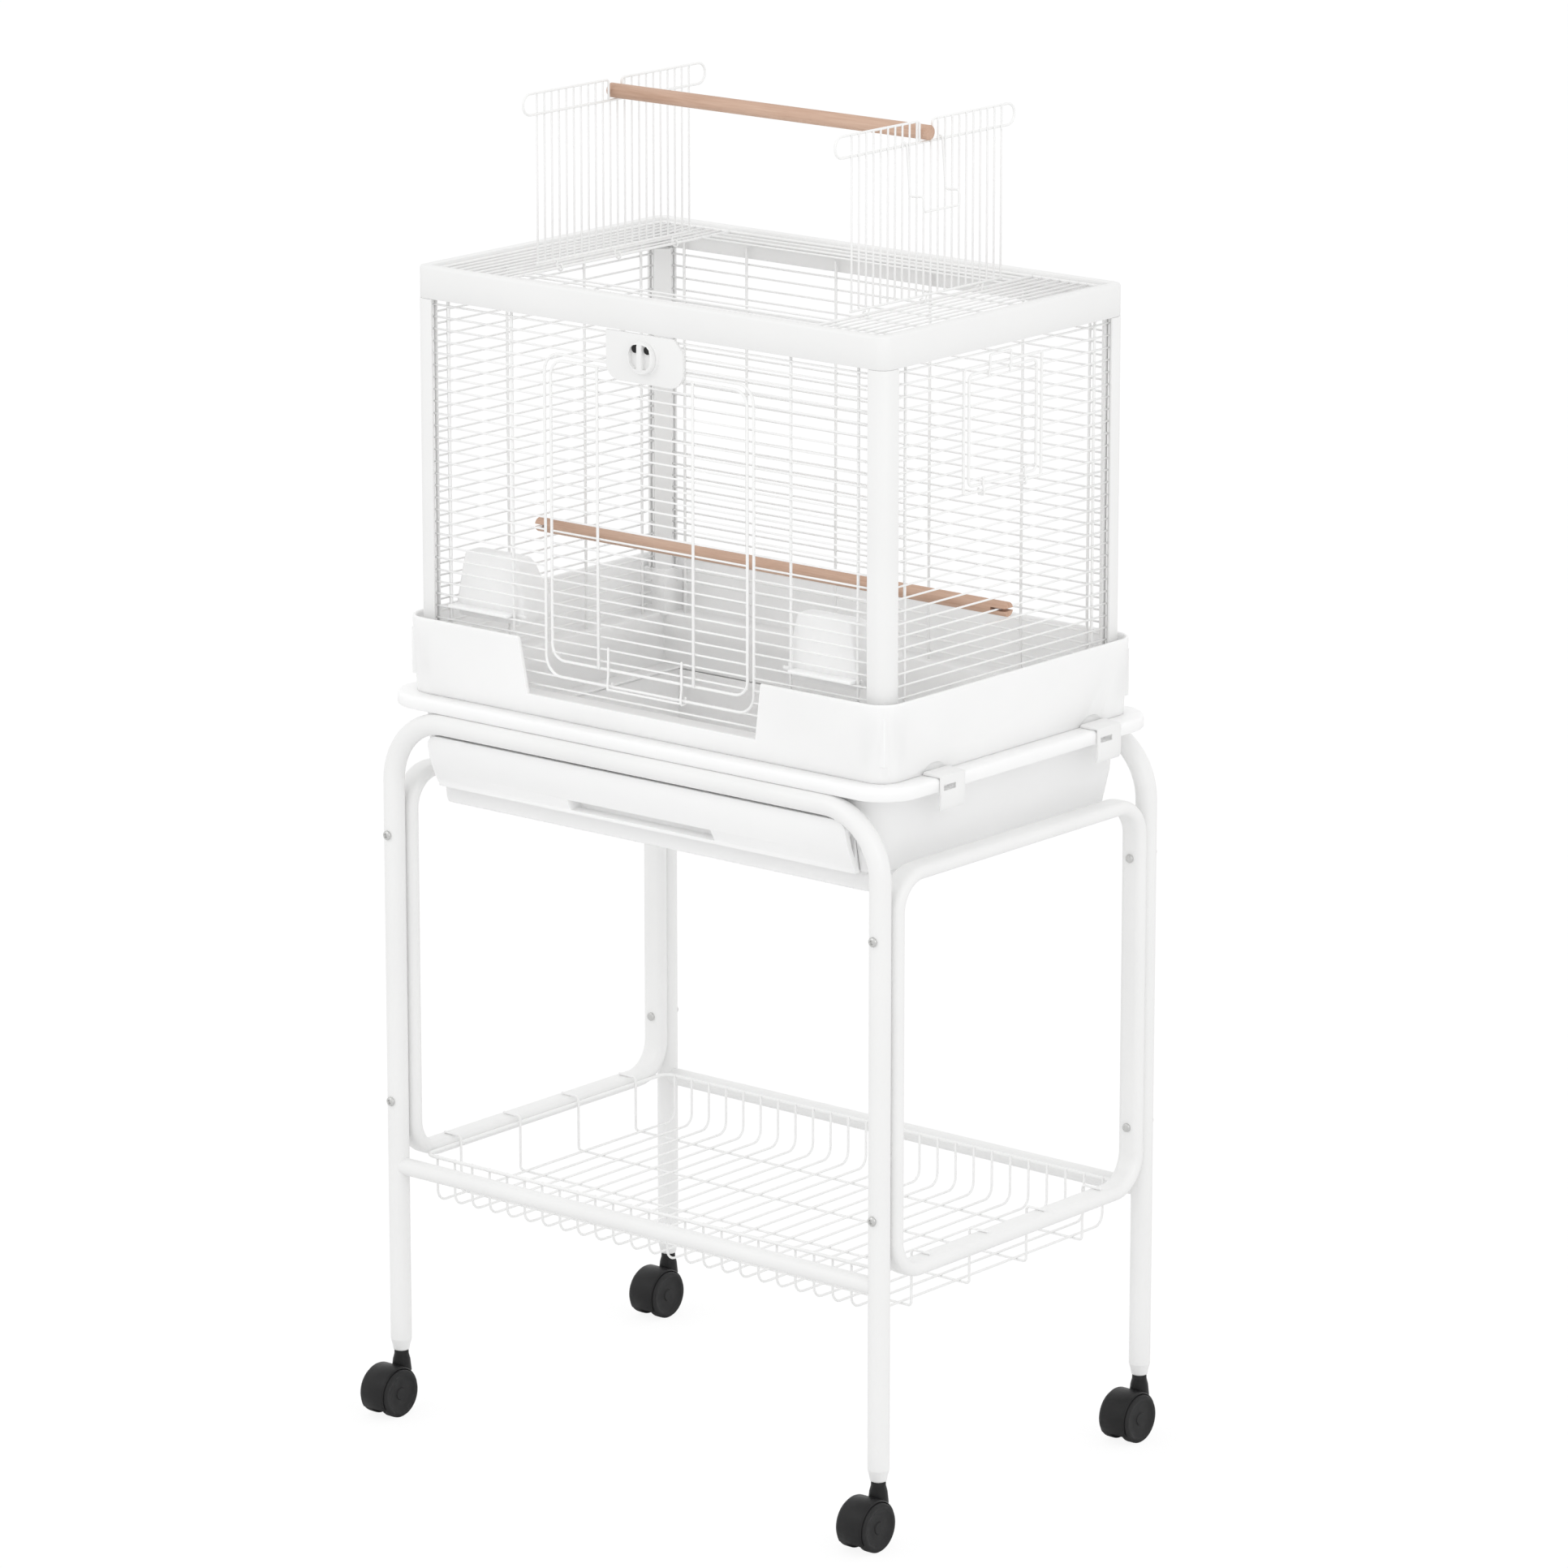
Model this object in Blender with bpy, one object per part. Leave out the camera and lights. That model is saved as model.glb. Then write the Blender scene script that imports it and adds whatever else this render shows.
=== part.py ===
"""A wire bird cage on a rolling stand, with a wire basket below and an opening play top.

Metres, +Z up. The floor is z = 0, the middle of the footprint is x = y = 0, and the cage's front
door faces -Y. The roof gates stand open with the top perch across them, as on the real product.
"""

import math

import bmesh
import bpy
from mathutils import Matrix, Vector

# Clearances
SEAT = 0.0003
RUN = 0.0006
WELD = 0.0006

# Footprint: the cage's outside, and how far each part below it stands out or in from the one above
CAGE_X = 0.612
CAGE_Y = 0.382
BASE_OUT = 0.012
FLANGE_OUT_X = 0.0175
FLANGE_OUT_Y = 0.0155
TUB_IN_X = 0.012
TUB_IN_Y = 0.0025
DRAWER_IN = 0.0305
STAND_OUT_X = 0.01525
STAND_OUT_Y = 0.014
BASKET_IN_X = 0.00295
BASKET_IN_Y = 0.0225

# Stand
CASTER_HEIGHT = 0.066
PORTAL_TOP = 0.760
TUBE_R = 0.011
PORTAL_BEND = 0.069
LEG_NECK_R = 0.0085
LEG_NECK_LENGTH = 0.009
LOOP_WIDE = 0.027
LOOP_THICK = 0.015
LOOP_LOW = 0.2757
LOOP_DROP = 0.0775
LOOP_BEND = 0.036
RAIL_R = 0.009
RAIL_DROP = 0.0083
BOLT_LOW_RISE = 0.0628
BOLT_HIGH_DROP = 0.0589
BOLT_R = 0.003
BOLT_HEAD_R = 0.0050
BOLT_HEAD = 0.0032

# Casters
WHEEL_R = 0.0255
WHEEL_IN = 0.0072
WHEEL_OUT = 0.0185
TRAIL = 0.020
HOOD_R = 0.0278
HOOD_HALF = 0.0160
HOOD_WALL = 0.0014
HOOD_CUT_Z = 0.011
WEB_HALF = 0.0065
AXLE_R = 0.003
COLLAR_R = 0.0075
PIN_R = 0.004
PIN_TOP_R = 0.0052
PIN_DEPTH = 0.028

# Basket
BASKET_DEEP = 0.0477
BASKET_RIM_R = 0.0020
BASKET_WIRE_R = 0.0014
BASKET_BEND = 0.012
BASKET_WIRES = 25
BASKET_END = 0.015
BASKET_LONG_Y = (-0.1395, -0.0465, 0.0465, 0.1395)

# Lower tray, drawer and base
FLANGE_R = 0.043
FLANGE_THICK = 0.0135
TUB_R = 0.034
TUB_WALL = 0.0025
TUB_DEEP = 0.1033
TUB_STEP_RISE = 0.0215
TUB_TUCK = 0.011
TUB_STEP = 0.007
DRAWER_DROP = 0.0253
DRAWER_CORNER = 0.012
DRAWER_BULGE = 0.0135
DRAWER_TUCK = 0.019
DRAWER_SKIN = 0.006
DRAWER_SET = 0.003
DRAWER_WALL = 0.0025
DRAWER_REAR = 0.026
GRIP_WIDE = 0.190
GRIP_TALL = 0.012
GRIP_DEEP = 0.013
RUNNER_X = 0.200
RUNNER_HALF = 0.003
RUNNER_END = 0.024
BASE_R = 0.026
BASE_TALL = 0.0795
BASE_FLARE = 0.004
BASE_WALL = 0.003
LEDGE_IN = 0.030
LEDGE_TALL = 0.0194
NOTCH_TOP_X = 0.322
NOTCH_LOW_X = 0.300
NOTCH_RISE = 0.0015
THUMB_WIDE = 0.036
THUMB_TALL = 0.0095
THUMB_DEEP = 0.0012
CLIP_Y = (-0.122, 0.130)
CLIP_WIDE = 0.038
CLIP_RISE = 0.0035
CLIP_THICK = 0.0022
CLIP_LONG = 0.020

# Cage
POST_FACE = 0.022
POST_ARM = 0.010
POST_R = 0.0125
GROOVE_WIDE = 0.0062
GROOVE_DEEP = 0.0055
PANEL_IN = 0.0055
BORDER_END = 0.0028
ROWS = 31
ROW_START = 0.0086
ROW_PITCH = 0.01247
ROW_R = 0.0012
BAR_R = 0.0018
LONG_BARS_IN = (0.244, 0.124, 0.039)
SHORT_BARS_IN = (0.131, 0.041)
RIM_OVER_ROWS = 0.0057
RIM_TALL = 0.0329
RIM_WALL = 0.003
RIM_WIDE = 0.012
RIM_LIP = 0.014

# Front door and its latch
DOOR_FRAME_X = 0.1365
DOOR_FRAME_ROW = 1
DOOR_TOP_ROW = 28
DOOR_TOP_DROP = 0.0056
DOOR_GAP = 0.0065
DOOR_LIFT = 0.0170
DOOR_BEND = 0.020
DOOR_BARS = 0.0625
HOOK_X = 0.050
HOOK_DROP = 0.0038
HOOK_RISE = 0.0400
HOOK_R = 0.0013
LATCH_X = 0.100
LATCH_UNDER = 0.0268
LATCH_SKIRT = 0.0017
LATCH_THICK = 0.0030
LATCH_ROUND = 0.017
KNOB_R = 0.0120
SPINDLE_R = 0.003
CAM_LONG = 0.018
CAM_WIDE = 0.0056

# Side door
SIDE_FRAME_Y = 0.060
SIDE_DOOR_LOW_ROW = 19
SIDE_DOOR_HIGH_ROW = 29
SIDE_EYE_IN = 0.0195
SIDE_TAB = (-0.025, 0.008)

# Roof and gates
ROOF_DROP = 0.0046
HINGE_R = 0.0016
STRIP_WIRES = 7
MARGIN_WIRES = 3
MARGIN_PITCH = 0.0154
GATE_TALL = 0.1815
GATE_MEET = 0.0175
GATE_OUT = 0.003
GATE_LOOP = 0.0214
GATE_EAR = 0.0231
GATE_WIRES = 22
GATE_PITCH = 0.0112
GATE_WIRE_R = 0.0012
GATE_LOOP_R = 0.0014
GATE_HOOKS = (-8, 0, 8)
SADDLE_HALF = 0.0100
CLASP_LONG = 0.050
CLASP_OUT = 0.020
CLASP_TIP = 0.015
CLASP_LEAN = 5.0
CLASP_R = 0.0012
CLASP_SLOTS = (-3, 2)

# Perches and feeders
PERCH_R = 0.0075
TOP_PERCH_OVER = (0.015, 0.006)
LOW_PERCH_OVER = 0.0095
LOW_PERCH_ROW = 9
SLOT_DEEP = 0.018
FEEDER_IN = 0.087
FEEDER_OVER_BASE = 0.0039
FEEDER_TALL = 0.0675
FEEDER_WIDE = 0.094
FEEDER_TOP_WIDE = 0.070
FEEDER_DEEP = 0.050
FEEDER_WALL = 0.002
FEEDER_LIP_WIDE = 0.100

# Worked out from the above, from the floor up
BASE_X = CAGE_X + 2 * BASE_OUT
BASE_Y = CAGE_Y + 2 * BASE_OUT
FLANGE_X = BASE_X + 2 * FLANGE_OUT_X
FLANGE_Y = BASE_Y + 2 * FLANGE_OUT_Y
TUB_X = BASE_X - 2 * TUB_IN_X
TUB_Y = BASE_Y - 2 * TUB_IN_Y
DRAWER_X = TUB_X - 2 * DRAWER_IN
LEG_X = TUB_X / 2 + STAND_OUT_X
LEG_Y = TUB_Y / 2 + STAND_OUT_Y
LOOP_Y = LEG_Y - TUBE_R - SEAT - LOOP_THICK / 2
LOOP_HIGH = PORTAL_TOP - LOOP_DROP
RAIL_Z = LOOP_LOW - RAIL_DROP
BOLT_LOW = LOOP_LOW + BOLT_LOW_RISE
BOLT_HIGH = LOOP_HIGH - BOLT_HIGH_DROP
BASKET_X = 2 * (LEG_X - BASKET_IN_X) - LOOP_WIDE
BASKET_Y = 2 * (LEG_Y - BASKET_IN_Y)
BASKET_FLOOR = LOOP_LOW - BASKET_DEEP
FLANGE_LOW = PORTAL_TOP + SEAT
FLANGE_TOP = FLANGE_LOW + FLANGE_THICK
TUB_BOTTOM = FLANGE_LOW - TUB_DEEP
TUB_STEP_Z = TUB_BOTTOM + TUB_STEP_RISE
DRAWER_TOP = FLANGE_LOW - DRAWER_DROP
DRAWER_DEPTH = TUB_Y - DRAWER_REAR - DRAWER_SET
BASE_LOW = FLANGE_TOP + SEAT
BASE_TOP = BASE_LOW + BASE_TALL
LEDGE_TOP = BASE_LOW + LEDGE_TALL
CAGE_LOW = LEDGE_TOP + SEAT
ROW_FIRST = CAGE_LOW + ROW_START
RIM_LOW = ROW_FIRST + (ROWS - 1) * ROW_PITCH + RIM_OVER_ROWS
RIM_TOP = RIM_LOW + RIM_TALL
PANEL_X = CAGE_X / 2 - PANEL_IN
PANEL_Y = CAGE_Y / 2 - PANEL_IN
LONG_BARS = [CAGE_X / 2 - inset for inset in LONG_BARS_IN]
SHORT_BARS = [CAGE_Y / 2 - inset for inset in SHORT_BARS_IN]
BAR_CLEAR = ROW_R + BAR_R + SEAT
DOOR_FRAME_TOP = ROW_FIRST + DOOR_TOP_ROW * ROW_PITCH - DOOR_TOP_DROP
LATCH_Z = ROW_FIRST + (DOOR_TOP_ROW + 0.5) * ROW_PITCH
LATCH_LOW = LATCH_Z - LATCH_UNDER
LATCH_HIGH = RIM_LOW - LATCH_SKIRT
LATCH_BACK = -PANEL_Y - BAR_R - 2 * SEAT
ROOF_Z = RIM_TOP - ROOF_DROP
HINGE_X = GATE_TALL + GATE_MEET
GATE_X = HINGE_X + GATE_OUT
GATE_TOP = ROOF_Z + GATE_TALL
GATE_HALF_Y = (GATE_WIRES - 1) / 2 * GATE_PITCH + GATE_EAR
LOOP_WIRE_Z = GATE_TOP - GATE_LOOP
TOP_PERCH_Z = LOOP_WIRE_Z + GATE_LOOP_R + SEAT + PERCH_R
FEEDER_X = CAGE_X / 2 - FEEDER_IN
FEEDER_LOW = BASE_TOP + FEEDER_OVER_BASE
FEEDER_HIGH = FEEDER_LOW + FEEDER_TALL
ROUND = 12


def row_z(row):
    """The height of one of the cage's horizontal wires, counted from the lowest."""
    return ROW_FIRST + row * ROW_PITCH


def clear_scene():
    for obj in list(bpy.data.objects):
        bpy.data.objects.remove(obj, do_unlink=True)


def make_material(name, colour, roughness, metallic=0.0):
    material = bpy.data.materials.new(name)
    material.use_nodes = True
    shader = material.node_tree.nodes["Principled BSDF"]
    shader.inputs["Base Color"].default_value = (*colour, 1.0)
    shader.inputs["Roughness"].default_value = roughness
    shader.inputs["Metallic"].default_value = metallic
    return material


def mesh_object(name, points, faces, material=None):
    mesh = bpy.data.meshes.new(name)
    mesh.from_pydata([tuple(point) for point in points], [], faces)
    obj = bpy.data.objects.new(name, mesh)
    bpy.context.scene.collection.objects.link(obj)
    if material:
        obj.data.materials.append(material)
    fix_normals(obj)
    return obj


def fix_normals(obj):
    work = bmesh.new()
    work.from_mesh(obj.data)
    bmesh.ops.recalc_face_normals(work, faces=work.faces)
    work.to_mesh(obj.data)
    work.free()


def smooth(obj, degrees=40.0):
    obj.data.shade_smooth()
    obj.data.set_sharp_from_angle(angle=math.radians(degrees))
    return obj


def loft(name, rings, material=None, closed=False):
    """Joins equal rings of points in order. Open lofts get flat ends; closed ones join up as a ring."""
    count = len(rings[0])
    points = [point for ring in rings for point in ring]
    faces = []
    last = len(rings) if closed else len(rings) - 1
    for i in range(last):
        a = i * count
        b = (i + 1) % len(rings) * count
        for j in range(count):
            k = (j + 1) % count
            faces.append((a + j, a + k, b + k, b + j))
    if not closed:
        faces.append(tuple(range(count)))
        faces.append(tuple(range((len(rings) - 1) * count, len(rings) * count)))
    return mesh_object(name, points, faces, material)


def join(name, objects, material=None):
    """Several meshes that don't touch, in one object."""
    points = []
    faces = []
    for obj in objects:
        start = len(points)
        points += [obj.matrix_world @ vertex.co for vertex in obj.data.vertices]
        faces += [tuple(start + index for index in face.vertices) for face in obj.data.polygons]
        bpy.data.objects.remove(obj, do_unlink=True)
    mesh = bpy.data.meshes.new(name)
    mesh.from_pydata([tuple(point) for point in points], [], faces)
    obj = bpy.data.objects.new(name, mesh)
    bpy.context.scene.collection.objects.link(obj)
    if material:
        obj.data.materials.append(material)
    return obj


def boolean(obj, other, operation):
    """Applies a Boolean with the exact solver and removes the second mesh."""
    modifier = obj.modifiers.new("cut", "BOOLEAN")
    modifier.operation = operation
    modifier.solver = "EXACT"
    modifier.object = other
    bpy.context.view_layer.update()
    graph = bpy.context.evaluated_depsgraph_get()
    result = bpy.data.meshes.new_from_object(obj.evaluated_get(graph))
    materials = list(obj.data.materials)
    obj.modifiers.clear()
    obj.data = result
    obj.data.materials.clear()
    for material in materials:
        obj.data.materials.append(material)
    bpy.data.objects.remove(other, do_unlink=True)
    return obj


def union(obj, *others):
    for other in others:
        boolean(obj, other, "UNION")
    return obj


def cut(obj, *others):
    for other in others:
        boolean(obj, other, "DIFFERENCE")
    return obj


def box(name, low, high, material=None):
    xs, ys, zs = zip(low, high)
    rings = [[Vector((x, y, z)) for x, y in ((xs[0], ys[0]), (xs[1], ys[0]), (xs[1], ys[1]), (xs[0], ys[1]))]
             for z in zs]
    return loft(name, rings, material)


def axes_of(direction):
    """Two unit vectors square to a direction."""
    direction = Vector(direction).normalized()
    first = Vector((0, 0, 1)) if abs(direction.z) < 0.9 else Vector((1, 0, 0))
    side = first.cross(direction).normalized()
    return side, direction.cross(side)


def turned(name, start, direction, profile, material=None, sides=ROUND):
    """A solid turned about a line. The profile lists (distance along it, radius)."""
    direction = Vector(direction).normalized()
    side, up = axes_of(direction)
    rings = []
    for along, radius in profile:
        centre = Vector(start) + direction * along
        rings.append([centre + radius * (side * math.cos(a) + up * math.sin(a))
                      for a in (2 * math.pi * i / sides for i in range(sides))])
    return loft(name, rings, material)


def rod(name, start, end, radius, material=None, sides=ROUND):
    span = Vector(end) - Vector(start)
    return turned(name, start, span, ((0, radius), (span.length, radius)), material, sides)


def rounded_path(points, radius, steps, closed=False):
    """A polyline whose corners are replaced by arcs."""
    count = len(points)
    points = [Vector(point) for point in points]
    path = []
    for i, corner in enumerate(points):
        if not closed and i in (0, count - 1):
            path.append(corner)
            continue
        back = (points[i - 1] - corner).normalized()
        ahead = (points[(i + 1) % count] - corner).normalized()
        half = back.angle(ahead) / 2
        run = radius / math.tan(half)
        centre = corner + (back + ahead).normalized() * radius / math.sin(half)
        start = corner + back * run - centre
        end = corner + ahead * run - centre
        turn = start.angle(end)
        for step in range(steps + 1):
            share = step / steps
            weight_a = math.sin((1 - share) * turn) / math.sin(turn)
            weight_b = math.sin(share * turn) / math.sin(turn)
            path.append(centre + start * weight_a + end * weight_b)
    return path


def sweep(name, path, normal, section, material=None, closed=False):
    """Sweeps a section along a flat path with mitred corners. Section points are (out of plane, in plane)."""
    normal = Vector(normal).normalized()
    path = [Vector(point) for point in path]
    count = len(path)
    rings = []
    for i, point in enumerate(path):
        before = path[i - 1] if closed or i > 0 else None
        after = path[(i + 1) % count] if closed or i < count - 1 else None
        into = (point - before).normalized() if before is not None else (after - point).normalized()
        out = (after - point).normalized() if after is not None else into
        along = (into + out).normalized()
        side = along.cross(normal).normalized()
        stretch = 1 / max(along.dot(into), 0.2)
        rings.append([point + normal * u + side * v * stretch for u, v in section])
    return loft(name, rings, material, closed)


def circle_section(radius, sides=ROUND):
    return [(radius * math.cos(2 * math.pi * i / sides), radius * math.sin(2 * math.pi * i / sides))
            for i in range(sides)]


def oval_section(wide, thick, steps=5):
    """A flat oval: wide across the path's plane and thick in it."""
    radius = thick / 2
    reach = wide / 2 - radius
    points = []
    for side in (1, -1):
        for step in range(steps + 1):
            angle = math.pi * step / steps - math.pi / 2
            points.append((side * (reach + radius * math.cos(angle)), side * radius * math.sin(angle)))
    return points


def wire_section(radius):
    """A four-sided wire whose corners point across and along its plane."""
    return [(radius, 0), (0, radius), (-radius, 0), (0, -radius)]


def wire(name, path, normal, radius, material=None, closed=False):
    return sweep(name, path, normal, wire_section(radius), material, closed)


def rectangle_ring(half_x, half_y, radius, z, steps=4):
    """A rounded rectangle of points about the z axis."""
    points = []
    for index, (sx, sy) in enumerate(((1, 1), (-1, 1), (-1, -1), (1, -1))):
        for step in range(steps + 1):
            angle = math.pi / 2 * (index + step / steps)
            points.append(Vector((sx * (half_x - radius) + radius * math.cos(angle),
                                  sy * (half_y - radius) + radius * math.sin(angle), z)))
    return points


def walls(name, size_x, size_y, corner, profile, material=None, closed=True, steps=4):
    """Sweeps a wall section round a rounded rectangle. Profile points are (inset from the size, height)."""
    rings = [rectangle_ring(size_x / 2 - inset, size_y / 2 - inset, max(corner - inset, 0.002), z, steps)
             for inset, z in profile]
    return loft(name, rings, material, closed)


def prism(name, outline, low, high, along, material=None):
    """Extrudes an outline of (first, second) coordinates along the axis that it leaves out."""
    place = {"x": lambda a, b, c: Vector((c, a, b)), "y": lambda a, b, c: Vector((a, c, b)),
             "z": lambda a, b, c: Vector((a, b, c))}[along]
    return loft(name, [[place(a, b, c) for a, b in outline] for c in (low, high)], material)


def set_origin(obj, origin):
    """Moves an object's origin without moving its shape."""
    origin = Vector(origin)
    obj.data.transform(Matrix.Translation(-origin))
    obj.location = origin
    return obj


def portal(name, y, material):
    """One bent tube: two legs and the run under the tray, with necked feet bored for the casters."""
    top = PORTAL_TOP - TUBE_R
    low = CASTER_HEIGHT + LEG_NECK_LENGTH
    corners = [(-LEG_X, y, low), (-LEG_X, y, top), (LEG_X, y, top), (LEG_X, y, low)]
    tube = sweep(name, rounded_path(corners, PORTAL_BEND, 5), (0, 1, 0), circle_section(TUBE_R), material)
    for x in (-LEG_X, LEG_X):
        neck = turned("neck", (x, y, CASTER_HEIGHT), (0, 0, 1),
                      ((0, LEG_NECK_R), (LEG_NECK_LENGTH, TUBE_R - SEAT),
                       (LEG_NECK_LENGTH + 0.004, TUBE_R - SEAT)))
        union(tube, neck)
        cut(tube, rod("bore", (x, y, CASTER_HEIGHT - 0.002), (x, y, CASTER_HEIGHT + PIN_DEPTH + 0.001),
                      PIN_TOP_R + SEAT, sides=8))
        for z in (BOLT_LOW, BOLT_HIGH):
            cut(tube, rod("hole", (x, y - 0.02, z), (x, y + 0.02, z), BOLT_R + SEAT, sides=6))
    return smooth(tube)


def side_loop(name, x, material):
    """A closed flat-oval loop between the front and rear legs."""
    corners = [(x, -LOOP_Y, LOOP_LOW), (x, LOOP_Y, LOOP_LOW), (x, LOOP_Y, LOOP_HIGH), (x, -LOOP_Y, LOOP_HIGH)]
    path = rounded_path(corners, LOOP_BEND, 3, closed=True)
    loop = sweep(name, path, (1, 0, 0), oval_section(LOOP_WIDE, LOOP_THICK, 3), material, closed=True)
    for y in (-LOOP_Y, LOOP_Y):
        for z in (BOLT_LOW, BOLT_HIGH):
            cut(loop, rod("hole", (x, y - 0.012, z), (x, y + 0.012, z), BOLT_R + SEAT, sides=6))
    return smooth(loop)


def frame_bolt(name, x, y, z, material):
    """A bolt through a leg and the loop behind it, with a domed head outside and a cap nut inside."""
    side = math.copysign(1, y)
    outside = LEG_Y + TUBE_R + SEAT
    inside = LOOP_Y - LOOP_THICK / 2 - SEAT
    start = (x, side * (outside + BOLT_HEAD), z)
    length = outside - inside
    profile = ((0, BOLT_HEAD_R * 0.6), (BOLT_HEAD, BOLT_HEAD_R), (BOLT_HEAD, BOLT_R),
               (BOLT_HEAD + length, BOLT_R), (BOLT_HEAD + length, BOLT_HEAD_R * 0.9),
               (BOLT_HEAD * 1.8 + length, BOLT_HEAD_R * 0.9))
    return smooth(turned(name, start, (0, -side, 0), profile, material, sides=6))


def lower_rail(name, y, material):
    """The straight tube between two legs, hollowed at its ends to fit round them."""
    reach = LEG_X - TUBE_R * 0.9
    rail = rod(name, (-reach, y, RAIL_Z), (reach, y, RAIL_Z), RAIL_R, material)
    for x in (-LEG_X, LEG_X):
        cut(rail, rod("cope", (x, y, RAIL_Z - 0.02), (x, y, RAIL_Z + 0.02), TUBE_R + SEAT, sides=24))
    return smooth(rail)


def basket(name, material):
    """The wire basket: a rim, close wires bent up front and rear, and long wires hooked over the loops."""
    half_x = BASKET_X / 2
    half_y = BASKET_Y / 2
    loop_top = LOOP_LOW + LOOP_THICK / 2
    hook_z = loop_top + SEAT + BASKET_WIRE_R
    rim_z = LOOP_LOW + 0.001
    corners = [(-half_x, -half_y, rim_z), (half_x, -half_y, rim_z), (half_x, half_y, rim_z),
               (-half_x, half_y, rim_z)]
    rim_path = rounded_path(corners, BASKET_BEND, 3, closed=True)
    rim = wire(name, rim_path, (0, 0, 1), BASKET_RIM_R, material, True)
    close = []
    for i in range(BASKET_WIRES):
        x = (i / (BASKET_WIRES - 1) - 0.5) * (BASKET_X - 2 * BASKET_END)
        route = [(x, -half_y, rim_z), (x, -half_y, BASKET_FLOOR), (x, half_y, BASKET_FLOOR),
                 (x, half_y, rim_z)]
        close.append(wire("close", rounded_path(route, BASKET_BEND, 1), (1, 0, 0), BASKET_WIRE_R))
    union(rim, join("close", close))
    outside_x = half_x - BASKET_RIM_R - BASKET_WIRE_R + WELD
    floor_z = BASKET_FLOOR - 2 * BASKET_WIRE_R - SEAT
    reach = LEG_X + 0.004
    long_wires = []
    for y in BASKET_LONG_Y:
        route = [(-reach, y, hook_z), (-outside_x, y, hook_z), (-outside_x, y, floor_z),
                 (outside_x, y, floor_z), (outside_x, y, hook_z), (reach, y, hook_z)]
        long_wires.append(wire("long", rounded_path(route, 0.004, 1), (0, 1, 0), BASKET_WIRE_R))
    return union(rim, join("long", long_wires))


def caster_stem(name, x, y, material):
    """The steel pin that sits in the leg, with a step that grips its bore."""
    profile = ((0, PIN_R), (CASTER_HEIGHT - 0.038 + 0.003, PIN_R), (CASTER_HEIGHT - 0.038 + 0.003, PIN_TOP_R),
               (CASTER_HEIGHT - 0.038 + PIN_DEPTH - 0.002, PIN_TOP_R),
               (CASTER_HEIGHT - 0.038 + PIN_DEPTH, PIN_TOP_R * 0.7))
    return smooth(turned(name, (x, y, 0.038), (0, 0, 1), profile, material, sides=8))


def caster_hood(name, x, y, material):
    """The swivel body: a web between the wheels, a hood over them and the collar under the leg."""
    centre = Vector((x, y - TRAIL, WHEEL_R))
    sides = 16
    across = Vector((HOOD_HALF, 0, 0))
    hood = rod(name, centre - across, centre + across, HOOD_R, material, sides)
    union(hood, rod("collar", (x, y, WHEEL_R + 0.018), (x, y, CASTER_HEIGHT - SEAT), COLLAR_R, sides=12))
    for side in (-1, 1):
        cut(hood, rod("well", centre + Vector((side * WEB_HALF, 0, 0)), centre + 2 * side * across,
                      HOOD_R - HOOD_WALL, sides=sides))
    cut(hood, box("foot", (x - 2 * HOOD_R, y - TRAIL - 2 * HOOD_R, -HOOD_R),
                  (x + 2 * HOOD_R, y - TRAIL + 2 * HOOD_R, HOOD_CUT_Z)))
    cut(hood, rod("axle hole", centre - across, centre + across, AXLE_R + SEAT, sides=8))
    cut(hood, rod("pin hole", (x, y, 0.0376), (x, y, CASTER_HEIGHT + 0.01), PIN_R + SEAT, sides=8))
    return set_origin(smooth(hood), (x, y, CASTER_HEIGHT))


def caster_wheels(name, x, y, material):
    """Two wheels on one axle, each with a shallow dished outer face."""
    dish = WHEEL_R - 0.0055
    inner = WHEEL_OUT - WHEEL_IN
    left = [(0.0012, dish), (0, dish + 0.0025), (0.0016, WHEEL_R), (inner, WHEEL_R), (inner, AXLE_R)]
    profile = left + [(2 * WHEEL_OUT - along, radius) for along, radius in reversed(left)]
    centre = Vector((x, y - TRAIL, WHEEL_R))
    wheels = turned(name, centre - Vector((WHEEL_OUT, 0, 0)), (1, 0, 0), profile, material, sides=16)
    return set_origin(smooth(wheels), centre)


def drawer_opening():
    """The half width, lower edge and upper edge of the hole in the tub's front."""
    return DRAWER_X / 2 + RUN, TUB_STEP_Z, DRAWER_TOP + 0.0012


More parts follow.
